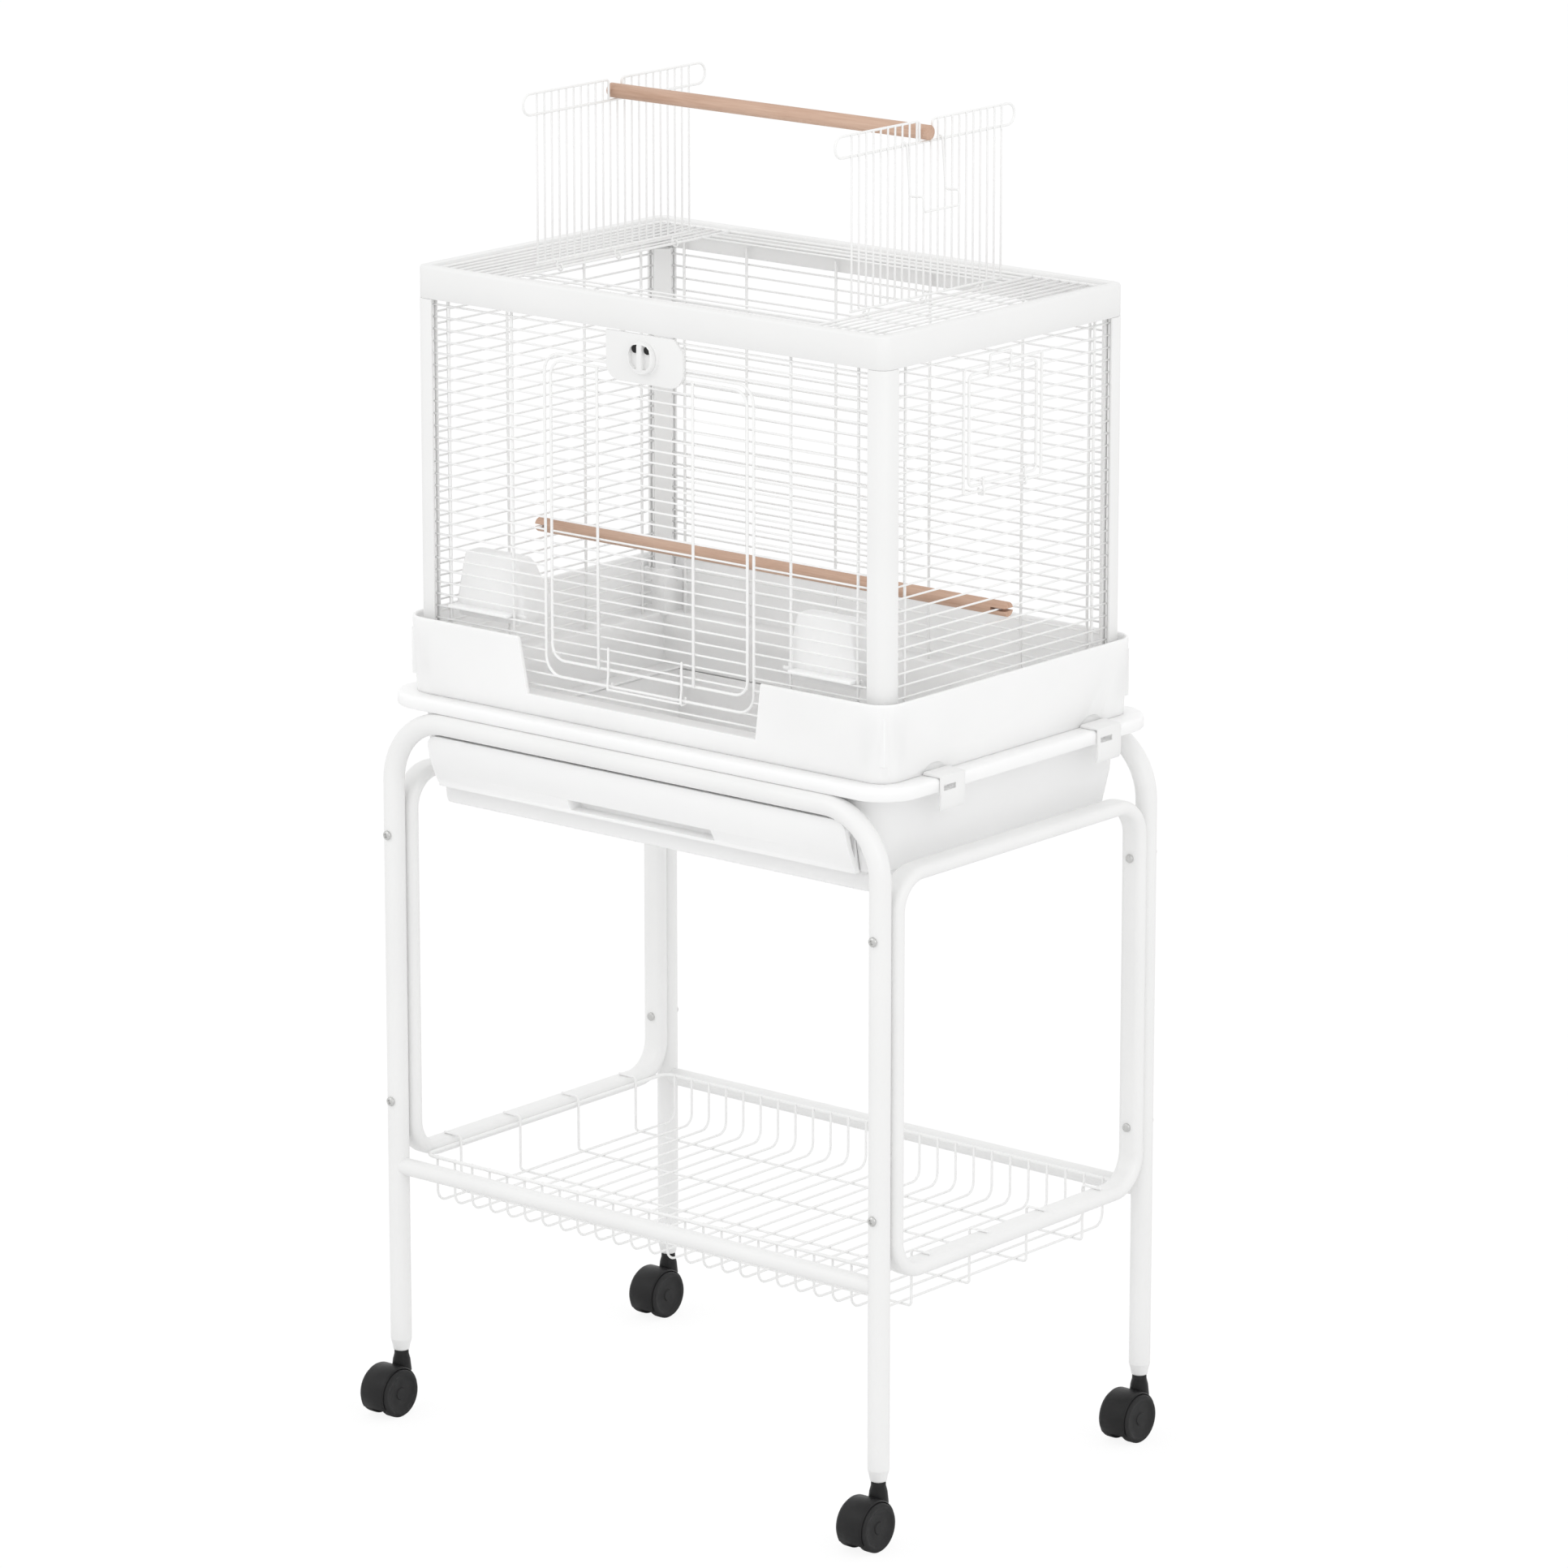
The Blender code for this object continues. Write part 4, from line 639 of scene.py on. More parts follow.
def make_bolt(node, x, y, z):
    """A domed head with a socket outside the leg, and a nut inside the loop."""
    way = math.copysign(1, y)
    outside = abs(y) + TUBE_R - HEAD_SUNK
    inside = LOOP_Y - LOOP_THICK / 2 + NUT_SUNK
    head = ((0, 0.0044), (0.0006, 0.0049), (0.0014, 0.0050), (0.0022, 0.0046), (0.0029, 0.0036),
            (0.0033, 0.0024), (0.0026, 0.0021), (0.0018, 0.0017))
    nut = ((0, 0.0045), (0.0020, 0.0045), (0.0025, 0.0041), (0.0028, 0.0030), (0.0029, 0.0012))
    shapes = [turned((x, way * outside, z), (0, way, 0), head, 24),
              turned((x, way * inside, z), (0, -way, 0), nut, 24)]
    finish(build_object(f"{node}_head", merged(shapes)), STEEL, "steel", ROOT, node)


def make_wheels(corner, centre):
    """Both wheels and the tube between them, as one turned piece."""
    half = WHEEL_OUT - WHEEL_IN
    wheel = [(0.0006, 0.0030), (0.0006, 0.0062), (0.0016, 0.0068), (0.0018, 0.0120), (0.0016, 0.0182),
             (0.0007, 0.0196), (0, 0.0208), (0, 0.0232), (0.0005, 0.0246), (0.0016, 0.0254),
             (0.0032, WHEEL_R), (half - 0.0016, WHEEL_R), (half - 0.0005, 0.0249), (half, 0.0236),
             (half, 0.0030)]
    profile = wheel + [(2 * WHEEL_OUT - at, radius) for at, radius in reversed(wheel)]
    shape = turned(centre - Vector((WHEEL_OUT, 0, 0)), (1, 0, 0), profile, 48)
    finish(build_object(f"wheels_{corner}_tyres", shape), TYRE, "black_plastic", f"wheels_{corner}",
           f"caster_wheels_{corner}", smooth=32)


def make_hood(corner, x, y, centre):
    """A drum over the wheels with a collar above, hollow but for a web between the wheels, and open below."""
    edge = HOOD_EDGE
    drum = ((0, HOOD_R - edge), (edge * 0.3, HOOD_R - edge * 0.3), (edge, HOOD_R),
            (2 * HOOD_HALF - edge, HOOD_R), (2 * HOOD_HALF - edge * 0.3, HOOD_R - edge * 0.3),
            (2 * HOOD_HALF, HOOD_R - edge))
    shape = turned(centre - Vector((HOOD_HALF, 0, 0)), (1, 0, 0), drum, 56)
    hood = build_object(f"hood_{corner}_shell", shape)
    collar = ((0, 0.0105), (0.012, 0.0092), (0.018, 0.0076), (0.0212, 0.0075), (0.0218, 0.0070))
    weld(hood, turned((x, y, WHEEL_R + COLLAR_UP), (0, 0, 1), collar))
    for side in (-1, 1):
        cut(hood, rod(centre + Vector((side * WEB_HALF, 0, 0)), (side, 0, 0), 0.03, WELL_R, 56))
    clear = 0.04
    cut(hood, block((x - clear, y - TRAIL - clear, -0.01), (x + clear, y - TRAIL + clear, HOOD_LOW)))
    cut(hood, rod(centre - Vector((0.01, 0, 0)), (1, 0, 0), 0.02, AXLE_R, 20))
    soften(hood, 0.0004, 50)
    finish(hood, HOOD, "black_plastic", f"caster_{corner}", f"caster_hood_{corner}")


def make_caster(corner, x, y):
    centre = Vector((x, y - TRAIL, WHEEL_R))
    make_wheels(corner, centre)
    make_hood(corner, x, y, centre)
    pin = ((0, 0.0036), (0.0006, 0.004), (0.0272, 0.004), (0.0272, 0.0052), (0.0545, 0.0052), (0.056, 0.0036))
    shape = turned((x, y, STEM_LOW), (0, 0, 1), pin, 24)
    finish(build_object(f"stem_{corner}_pin", shape), STEEL, "steel", ROOT, f"caster_stem_{corner}")


def make_basket():
    """A rim, wires across it that bend down to the floor, and long ones that hook over the side loops."""
    rim = rounded(rectangle(BASKET_X, BASKET_Y, BASKET_RIM_Z), BASKET_BEND, 6, True)
    shapes = [wire(rim, BASKET_RIM_R, 12, True)]
    inside = BASKET_Y - BASKET_WIRE_INSET
    top = BASKET_RIM_Z + 0.001
    for i in range(BASKET_WIRES):
        x = (i / (BASKET_WIRES - 1) - 0.5) * BASKET_SPAN
        route = [(x, -inside, top), (x, -inside, BASKET_FLOOR), (x, inside, BASKET_FLOOR), (x, inside, top)]
        shapes.append(wire(rounded(route, BASKET_BEND, 5), BASKET_WIRE_R, 8))
    outside = BASKET_X - BASKET_LONG_INSET
    floor_z = BASKET_FLOOR - BASKET_LONG_DROP
    for y in BASKET_LONG_Y:
        half_route = [(BASKET_HOOK_X, y, BASKET_HOOK_Z), (outside, y, BASKET_HOOK_Z), (outside, y, floor_z)]
        route = [(-x, y, z) for x, y, z in half_route] + half_route[::-1]
        shapes.append(wire(rounded(route, 0.004, 4), BASKET_LONG_R, 8))
    make_wires("basket", "basket", shapes)


# The tray, the drawer and the base

def clip_slot(side, y):
    """The slot through each clip and into the flange behind it."""
    y -= SLOT_SHIFT
    return block((side * SLOT_X[0], y - SLOT_HALF, SLOT_Z[0]), (side * SLOT_X[1], y + SLOT_HALF, SLOT_Z[1]))


def make_tray():
    """The flange and the stepped tub below it, with two ribs, the drawer's opening and the clips' slots."""
    def tub(grow, z):
        return rectangle_ring(TUB_X + grow, TUB_Y + grow, TUB_R + grow, z)

    def flange(inset, z):
        return rectangle_ring(FLANGE_X - inset, FLANGE_Y - inset, FLANGE_R - inset, z)

    mid = (FLANGE_LOW + STEP_Z) / 2 - 0.004
    step = -TUCK - 0.007
    inner = [tub(step - TUB_WALL - 0.003, TUB_BOTTOM + TUB_WALL), tub(step - TUB_WALL, STEP_Z - 0.003),
             tub(-TUCK - TUB_WALL, STEP_Z + 0.001), tub(-TUCK * 0.3 - TUB_WALL, mid),
             tub(-TUB_WALL, FLANGE_TOP - 0.0006), tub(-TUB_WALL + 0.0008, FLANGE_TOP)]
    outer = [flange(0.0042, FLANGE_TOP), flange(0.0026, FLANGE_TOP - 0.0003),
             flange(0.0012, FLANGE_TOP - 0.0010), flange(0.0003, FLANGE_TOP - 0.0024),
             flange(0, FLANGE_TOP - 0.0042), flange(0, FLANGE_LOW + 0.0012), flange(0.0010, FLANGE_LOW),
             tub(0.0010, FLANGE_LOW), tub(0, FLANGE_LOW - 0.0012), tub(-TUCK * 0.3, mid),
             tub(-TUCK + 0.0006, STEP_Z + 0.0024), tub(-TUCK - 0.0006, STEP_Z + 0.0006),
             tub(-TUCK - 0.0022, STEP_Z), tub(step + 0.0014, STEP_Z - 0.0016), tub(step, STEP_Z - 0.0032),
             tub(step - 0.0018, TUB_BOTTOM + 0.0030), tub(step - 0.0028, TUB_BOTTOM + 0.0008),
             tub(step - 0.0048, TUB_BOTTOM)]
    tray = build_object("lower_tray_shell", lofted(inner + outer))
    for x in (-RIB_X, RIB_X):
        weld(tray, block((x - RIB_HALF, -RIB_END, TUB_BOTTOM + 0.001), (x + RIB_HALF, RIB_END, STEP_Z)))
    half = DRAWER_HALF + OPENING_SIDE
    cut(tray, block((-half, -TUB_Y - 0.004, STEP_Z), (half, -TUB_Y + 0.026, DRAWER_TOP + OPENING_TOP)))
    for y in CLIP_Y:
        for side in (-1, 1):
            cut(tray, clip_slot(side, y))
    soften(tray, 0.0004, 50)
    finish(tray, TRAY, "white_plastic", ROOT, "lower_tray")


def make_drawer():
    """A bowed front with rounded upper corners and a finger slot, and the tray behind it."""
    front = -TUB_Y
    low = DRAWER_LOW
    steps, bow_out, bow_back, bow_power = 16, 0.0135, 0.019, 1.8
    face = [(front - bow_out + bow_back * (i / steps) ** bow_power,
             DRAWER_TOP - (DRAWER_TOP - low) * i / steps) for i in range(steps + 1)]
    outline = face + [(y + 0.006, z) for y, z in reversed(face)]
    drawer = build_object("drawer_front", prism(outline, -DRAWER_HALF, DRAWER_HALF, "x"))
    corner = DRAWER_CORNER
    past = 0.002
    waste = [(DRAWER_HALF + past, DRAWER_TOP + past), (DRAWER_HALF - corner, DRAWER_TOP + past)]
    waste += [(DRAWER_HALF - corner * (1 - math.sin(a)), DRAWER_TOP - corner * (1 - math.cos(a)))
              for a in quarter_turn(10)]
    waste.append((DRAWER_HALF + past, DRAWER_TOP - corner))
    for side in (-1, 1):
        cut(drawer, prism([(side * x, z) for x, z in waste], front - 0.03, front + 0.03, "y"))
    inner = DRAWER_HALF - DRAWER_INSET
    ends = DRAWER_HALF - 0.0004
    tray_front = front + 0.003
    back = tray_front + DRAWER_DEEP
    top = DRAWER_TOP - GAP
    weld(drawer, block((-inner, tray_front, low), (inner, back, top)))
    weld(drawer, block((-ends, front + 0.0035, low), (ends, front + 0.024, DRAWER_TOP - 0.0125)))
    weld(drawer, block((-inner, front - 0.008, DRAWER_TOP - 0.020), (inner, tray_front + 0.01, top)))
    cut(drawer, block((-inner + DRAWER_WALL, tray_front + 0.019, low + DRAWER_WALL),
                      (inner - DRAWER_WALL, back - DRAWER_WALL, DRAWER_TOP + 0.01)))
    cut(drawer, block((-FINGER_HALF, front - 0.02, FINGER_Z[0]),
                      (FINGER_HALF, front + FINGER_DEEP, FINGER_Z[1])))
    soften(drawer, 0.0004, 40)
    finish(drawer, TRAY, "white_plastic", "drawer", "drawer")


def thumb_hollow(side, y):
    """A shallow scoop over each clip, half an ellipse at the wall's foot that fades out upwards."""
    rings = []
    for depth, share in ((-0.008, 1.02), (-0.0002, 1.0), (0.0010, 0.90), (0.0016, 0.70), (0.0018, 0.40)):
        x = side * (THUMB_X - depth)
        rings.append([Vector((x, y + THUMB_HALF * share * math.cos(a),
                              THUMB_LOW + THUMB_HIGH * share * math.sin(a))) for a in full_turn(36)])
    return lofted(rings)


def make_base():
    """A leaning wall with a ledge, a skirt and side shelves, sockets for the posts and the door's notch."""
    profile = ((0.0002, BASE_TOP - 0.0012), (0, BASE_TOP - 0.0040), (0.0043, BASE_LOW - 0.0002),
               (SKIRT_INSET, BASE_LOW), (SKIRT_INSET, SKIRT_LOW), (LEDGE_INSET, SKIRT_LOW),
               (LEDGE_INSET, LEDGE_TOP - 0.0004), (LEDGE_INSET - 0.0004, LEDGE_TOP),
               (0.0085, LEDGE_TOP), (0.0070, LEDGE_TOP + 0.0014), (0.0036, BASE_TOP - 0.0030),
               (0.0032, BASE_TOP - 0.0008), (0.0024, BASE_TOP - 0.0001), (0.0014, BASE_TOP),
               (0.0007, BASE_TOP - 0.0003))
    base = build_object("base_shell", walls(BASE_X, BASE_Y, BASE_R, profile))
    narrow, wide = NOTCH_HALF
    outline = ((-narrow, NOTCH_LOW), (narrow, NOTCH_LOW), (wide, BASE_TOP + 0.01), (-wide, BASE_TOP + 0.01))
    cut(base, prism(outline, -BASE_Y - 0.01, -BASE_Y + 0.011, "y"))
    near = POST_FACE + SOCKET_INNER
    shelf_top = SKIRT_LOW + SHELF_THICK
    for sx in (-1, 1):
        weld(base, block((sx * SHELF_X[0], -SHELF_Y, SKIRT_LOW), (sx * SHELF_X[1], SHELF_Y, shelf_top)))
        for sy in (-1, 1):
            weld(base, block((sx * (CAGE_X - near), sy * (CAGE_Y - near), LEDGE_TOP - 0.002),
                             (sx * (CAGE_X + SOCKET_OUTER), sy * (CAGE_Y + SOCKET_OUTER), SOCKET_TOP)))
    for y in CLIP_Y:
        for side in (-1, 1):
            cut(base, thumb_hollow(side, y))
    soften(base, 0.0002, 50)
    finish(base, BASE, "white_plastic", ROOT, "base")


def make_clip(node, side, y):
    """A tongue that hangs from the base's foot over the flange, with a rib that snaps under it."""
    hinge_x = BASE_X - 0.0025
    hinge_z = FLANGE_TOP + 0.0035
    edge = FLANGE_X + GAP
    low = FLANGE_LOW - CLIP_HANG
    outline = [(hinge_x - 0.0012, FLANGE_TOP + GAP), (hinge_x, hinge_z), (hinge_x + 0.003, hinge_z),
               (edge + 0.0022, FLANGE_TOP + 0.0021), (edge + 0.0022, low + 0.006), (edge, low),
               (edge - 0.001, low + 0.001), (edge, low + 0.006), (edge, FLANGE_LOW - 0.0045),
               (edge - 0.0012, FLANGE_LOW - 0.0032), (edge, FLANGE_LOW - 0.0025), (edge, FLANGE_TOP + GAP)]
    shape = prism([(side * x, z) for x, z in outline], y - CLIP_HALF, y + CLIP_HALF, "y")
    clip = build_object(f"{node}_tongue", shape)
    cut(clip, clip_slot(side, y))
    soften(clip, 0.0004, 30)
    finish(clip, PLASTIC, "white_plastic", node, node)


# The cage

def make_post(node, sx, sy):
    """A corner section: a round outer face and two arms, each with a groove for a panel."""
    near, far, deep = 0.0024, 0.0086, POST_FACE - 0.0055
    outline = [(POST_R - POST_R * math.cos(a), POST_R - POST_R * math.sin(a)) for a in quarter_turn(14)]
    outline += [(POST_FACE, 0), (POST_FACE, near), (deep, near), (deep, far), (POST_FACE, far),
                (POST_FACE, POST_ARM), (POST_ARM, POST_FACE), (far, POST_FACE), (far, deep), (near, deep),
                (near, POST_FACE), (0, POST_FACE)]
    points = [(sx * (CAGE_X - a), sy * (CAGE_Y - b)) for a, b in outline]
    post = build_object(f"{node}_section", prism(points, CAGE_LOW, POST_TOP, "z"))
    soften(post, 0.0005, 30)
    finish(post, PLASTIC, "white_plastic", ROOT, node)


def make_rim():
    """A channel round the top: an outer wall, a flat top and a short lip inside."""
    wall, wide = 0.003, 0.012
    thin = wide - wall * 0.8
    lip = RIM_TOP - 0.014
    profile = ((0.0004, RIM_LOW), (0, RIM_LOW + 0.0005), (0, RIM_TOP - 0.0026), (0.0004, RIM_TOP - 0.0012),
               (0.0012, RIM_TOP - 0.0004), (0.0026, RIM_TOP), (wide - 0.0014, RIM_TOP),
               (wide - 0.0004, RIM_TOP - 0.0004), (wide, RIM_TOP - 0.0014), (wide, lip + 0.0005),
               (wide - 0.0005, lip), (thin + 0.0004, lip), (thin, lip + 0.0005), (thin, RIM_TOP - wall),
               (wall, RIM_TOP - wall), (wall, RIM_LOW + 0.0004), (wall - 0.0004, RIM_LOW))
    rim = build_object("rim_channel", walls(CAGE_X, CAGE_Y, POST_R + 0.001, profile))
    finish(rim, PLASTIC, "white_plastic", ROOT, "rim")


class Face:
    """One side of the cage. Its points are given by the way along it, the height and the depth inwards."""

    def __init__(self, along, outward, distance, half):
        self.along = Vector(along)
        self.outward = Vector(outward)
        self.distance = distance
        self.half = half

    def at(self, s, z, inward=0.0):
        return self.along * s + Vector((0, 0, z)) + self.outward * (self.distance - inward)

    def row(self, start, end, z):
        return wire((self.at(start, z), self.at(end, z)), ROW_R, 8)

    def rows(self, half, low, high):
        """The rows whose heights lie between two others."""
        return [self.row(-half, half, row_z(i)) for i in range(ROWS) if low < row_z(i) < high]

    def bar(self, s, low, high, inward=0.0):
        return wire((self.at(s, low, inward), self.at(s, high, inward)), BAR_R, 10)

    def frame(self, half, low, high, bend):
        corners = [self.at(-half, low), self.at(half, low), self.at(half, high), self.at(-half, high)]
        return wire(rounded(corners, bend, 8, True), BAR_R, 12, True)

    def hook(self, stops, bend):
        """A thin wire bent at each of its stops."""
        return wire(rounded([self.at(*stop) for stop in stops], bend, 4), HOOK_R, 10)

    def yoke(self, ends, stops, bend):
        """A thin wire through the stops (height, inward) at one end, and back through them at the other."""
        first, last = ends
        return self.hook([(first, *stop) for stop in stops] + [(last, *stop) for stop in stops[::-1]], bend)


FRONT = Face((1, 0, 0), (0, -1, 0), PANEL_Y, CAGE_X - POST_FACE + BORDER)
REAR = Face((1, 0, 0), (0, 1, 0), PANEL_Y, CAGE_X - POST_FACE + BORDER)
LEFT = Face((0, 1, 0), (-1, 0, 0), PANEL_X, CAGE_Y - POST_FACE + BORDER)
RIGHT = Face((0, 1, 0), (1, 0, 0), PANEL_X, CAGE_Y - POST_FACE + BORDER)
FRONT_HOLE = (DOOR_FRAME_X, row_z(SILL_ROW), DOOR_FRAME_TOP, DOOR_BEND)
SIDE_HOLE = (SIDE_FRAME, row_z(SIDE_ROWS[0]), row_z(SIDE_ROWS[1]), 0.003)


def make_panel(node, face, bars, hole=None):
    """Rows, borders and uprights. A hole is (half width, low, high, corner bend) of the wire round it."""
    shapes = []
    half, low, high, bend = hole or (0, 0, 0, 0)
    for i in range(ROWS):
        z = row_z(i)
        if hole and low - 0.001 < z < high + 0.001:
            depth = min(max(min(z - low, high - z), 0), bend)
            reach = half - bend + math.sqrt(bend ** 2 - (bend - depth) ** 2)
            shapes += [face.row(side * face.half, side * reach, z) for side in (-1, 1)]
        else:
            shapes.append(face.row(-face.half, face.half, z))
    for side in (-1, 1):
        shapes.append(face.bar(side * face.half, CAGE_LOW, POST_TOP))
        shapes += [face.bar(side * s, CAGE_LOW, BAR_TOP, BAR_BEHIND) for s in bars if s > half]
    if hole:
        shapes.append(face.frame(*hole))
    make_wires(ROOT, node, shapes)


def make_front_door():
    """A framed grille with two long wires before it. One bent wire makes both hooks, and each has its eye."""
    half = DOOR_FRAME_X - DOOR_GAP - 0.0018
    sill = row_z(SILL_ROW)
    low = sill + 0.017
    high = DOOR_FRAME_TOP - DOOR_GAP
    shapes = [FRONT.frame(half, low, high, DOOR_BEND - 0.004)]
    shapes += FRONT.rows(half, low + 0.006, high - 0.004)
    shapes += [FRONT.bar(x, low, high, -BAR_BEHIND) for x in DOOR_BARS]
    stops = ((sill + 0.040, -HOOK_NEAR), (low - 0.004, -HOOK_NEAR), (sill + 0.003, -HOOK_CLEAR),
             (sill - 0.0024, -HOOK_CLEAR))
    shapes.append(FRONT.yoke(DOOR_HOOKS, stops, 0.0022))
    for x in DOOR_HOOKS:
        eye = ((x, sill, -HOOK_CLEAR), (x, sill - HOOK_DROP, -HOOK_CLEAR), (x, sill - HOOK_DROP, HOOK_CLEAR),
               (x, sill + 0.003, HOOK_CLEAR))
        shapes.append(FRONT.hook(eye, 0.002))
    make_wires("front_door", "front_door", shapes)


def make_latch_plate(z):
    """A plate with round lower corners and a cut upper right one, and a boss round the knob's hole."""
    half, bend = PLATE_HALF, PLATE_BEND
    arc = quarter_turn(12)
    outline = [(-half, PLATE_TOP), (-half, PLATE_LOW + bend)]
    outline += [(-half + bend - bend * math.cos(a), PLATE_LOW + bend - bend * math.sin(a)) for a in arc[1:]]
    outline += [(half - bend + bend * math.sin(a), PLATE_LOW + bend - bend * math.cos(a)) for a in arc[:-1]]
    outline += [(half, PLATE_LOW + bend), (half, PLATE_TOP - PLATE_CUT[1]), (PLATE_CUT[0], PLATE_TOP)]
    plate = build_object("latch_plate_moulding", prism(outline, PLATE_FRONT, PLATE_BACK, "y"))
    boss = ((0, 0.0182), (0.0006, 0.0180), (0.0014, 0.0176), (0.0020, 0.0168))
    weld(plate, turned((0, PLATE_BACK - 0.0025, z), (0, -1, 0), boss, 48))
    cut(plate, rod((0, PLATE_BACK - 0.01, z), (0, 1, 0), 0.02, AXLE_R, 24))
    soften(plate, 0.0007, 40, 3)
    finish(plate, PLASTIC, "white_plastic", "front_door", "latch_plate")


def make_latch_knob(z):
    """A knob with a hollow at either side of its grip, a black disc of painted shade in the upper part of
    each, a spindle and a cam.
    """
    knob = ((0, 0.0146), (0.0003, 0.0154), (0.0010, 0.0162), (0.0020, 0.0165), (0.0056, 0.0165),
            (0.0060, 0.0161), (0.0060, 0.0030), (0.0182, 0.0030), (0.0185, 0.0027))
    turn = build_object("latch_knob_moulding", turned((0, KNOB_BACK - KNOB_DEEP, z), (0, 1, 0), knob, 48))
    hollow = ((0.0032, -0.0110), (0.0080, -0.0110), (0.0130, -0.0060), (0.0140, 0.0040), (0.0123, 0.0097),
              (0.0092, 0.0127), (0.0032, 0.0140))
    for side in (-1, 1):
        cut(turn, prism([(side * x, z + up) for x, up in hollow], KNOB_BACK - 0.007, KNOB_BACK - 0.0016, "y"))
    weld(turn, block((-GRIP_HALF, KNOB_BACK - 0.0066, z - GRIP_REACH),
                     (GRIP_HALF, KNOB_BACK - 0.0055, z + GRIP_REACH)))
    weld(turn, block((-CAM_HALF, CAM_FRONT, z - 0.0028), (CAM_HALF, CAM_FRONT + 0.003, z + 0.0028)))
    soften(turn, 0.0006, 40, 3)
    finish(turn, PLASTIC, "white_plastic", "latch_knob", "latch_knob")
    # Black discs high in each hollow: painted shade, standing for the deep shade under the hollow's upper
    # rim.
    inset = ((0, 0.0037), (0.0004, 0.0041), (0.0022, 0.0041))
    shapes = [turned((side * 0.0080, KNOB_BACK - 0.0036, z + 0.0087), (0, 1, 0), inset, 28)
              for side in (-1, 1)]
    finish(build_object("latch_knob_shade_discs", merged(shapes)), HOOD, "black_plastic", "latch_knob",
           "latch_knob")


def make_side_door():
    """A framed grille with two hooks below and a thumb loop above."""
    half = SIDE_HALF
    sill, top = (row_z(row) for row in SIDE_ROWS)
    low = sill + DOOR_GAP
    high = top - DOOR_GAP
    shapes = [RIGHT.frame(half, low, high, 0.006)]
    shapes += RIGHT.rows(half, low + 0.004, high - 0.004)
    for y in (-half + SIDE_HOOK, half - SIDE_HOOK):
        hook = ((y, row_z(SIDE_ROWS[0] + 1) + 0.001, -HOOK_NEAR), (y, low - 0.001, -HOOK_NEAR),
                (y, sill + 0.001, -HOOK_CLEAR), (y, sill - HOOK_DROP, -HOOK_CLEAR),
                (y, sill - HOOK_DROP, HOOK_CLEAR), (y, sill + 0.002, HOOK_CLEAR))
        shapes.append(RIGHT.hook(hook, 0.0016))
    stops = ((high - 0.004, -HOOK_NEAR), (high + 0.001, -HOOK_NEAR), (high + 0.004, -HOOK_CLEAR),
             (top + 0.0101, -HOOK_CLEAR))
    shapes.append(RIGHT.yoke(SIDE_TAB, stops, 0.0014))
    make_wires("side_door", "side_door", shapes)


# The roof, its gates and the perches

def make_roof():
    """A border, wires along Y over both sides, and rows along X before and behind the gates' opening."""
    end_x = CAGE_X - ROOF_INSET
    end_y = CAGE_Y - ROOF_INSET
    shapes = [wire(rounded(rectangle(end_x, end_y, ROOF_Z), 0.006, 6, True), BAR_R, 10, True)]
    pitch = (end_x - HINGE_X) / ROOF_SIDE_WIRES
    for side in (-1, 1):
        for i in range(ROOF_SIDE_WIRES):
            x = side * (HINGE_X + i * pitch)
            shapes.append(wire(((x, -end_y, ROOF_Z), (x, end_y, ROOF_Z)), ROW_R if i else BAR_R, 10))
        for y in ROOF_ROWS:
            shapes.append(wire(((-HINGE_X, side * y, ROOF_Z), (HINGE_X, side * y, ROOF_Z)), ROW_R, 10))
    make_wires(ROOT, "roof", shapes)


def make_gate(node, side):
    """A bent loop with a notch for the perch, uprights outside it, a foot wire and three rings."""
    x = side * GATE_X
    radius = (GATE_TOP - CHORD_Z) / 2
    reach = GATE_HALF_Y - radius
    mid = GATE_TOP - radius
    half = GATE_NOTCH
    bend = [(radius * math.sin(a), radius * math.cos(a)) for a in (math.pi * i / 14 for i in range(1, 14))]
    path = rounded([(x, half, CHORD_Z), (x, half, GATE_TOP), (x, reach, GATE_TOP)], 0.004, 5)
    path += [(x, reach + dy, mid + dz) for dy, dz in bend]
    path += [(x, reach, CHORD_Z), (x, -reach, CHORD_Z)]
    path += [(x, -reach - dy, mid - dz) for dy, dz in bend]
    path += rounded([(x, -reach, GATE_TOP), (x, -half, GATE_TOP), (x, -half, CHORD_Z)], 0.004, 5)
    shapes = [wire(path, GATE_LOOP_R, 12)]
    plane = x + side * GATE_WIRE_OUT
    for i in range(GATE_WIRES):
        y = (i - (GATE_WIRES - 1) / 2) * GATE_PITCH
        top = CHORD_Z + 0.0006 if abs(y) < half else GATE_TOP - 0.0002
        shapes.append(wire(((plane, y, GATE_LOW), (plane, y, top)), GATE_WIRE_R, 8))
    foot = (GATE_WIRES - 1) / 2 * GATE_PITCH + 0.002
    shapes.append(wire(((plane, -foot, GATE_LOW), (plane, foot, GATE_LOW)), GATE_LOOP_R, 10))
    for y in GATE_RINGS:
        ring = [(plane, y, GATE_LOW)]
        ring += [(side * (HINGE_X + RING_R * math.cos(a)), y, ROOF_Z + RING_R * math.sin(a))
                 for a in (-math.radians(15 * i) for i in range(19))]
        shapes.append(wire(ring, RING_WIRE_R, 10))
    make_wires(node, node, shapes)


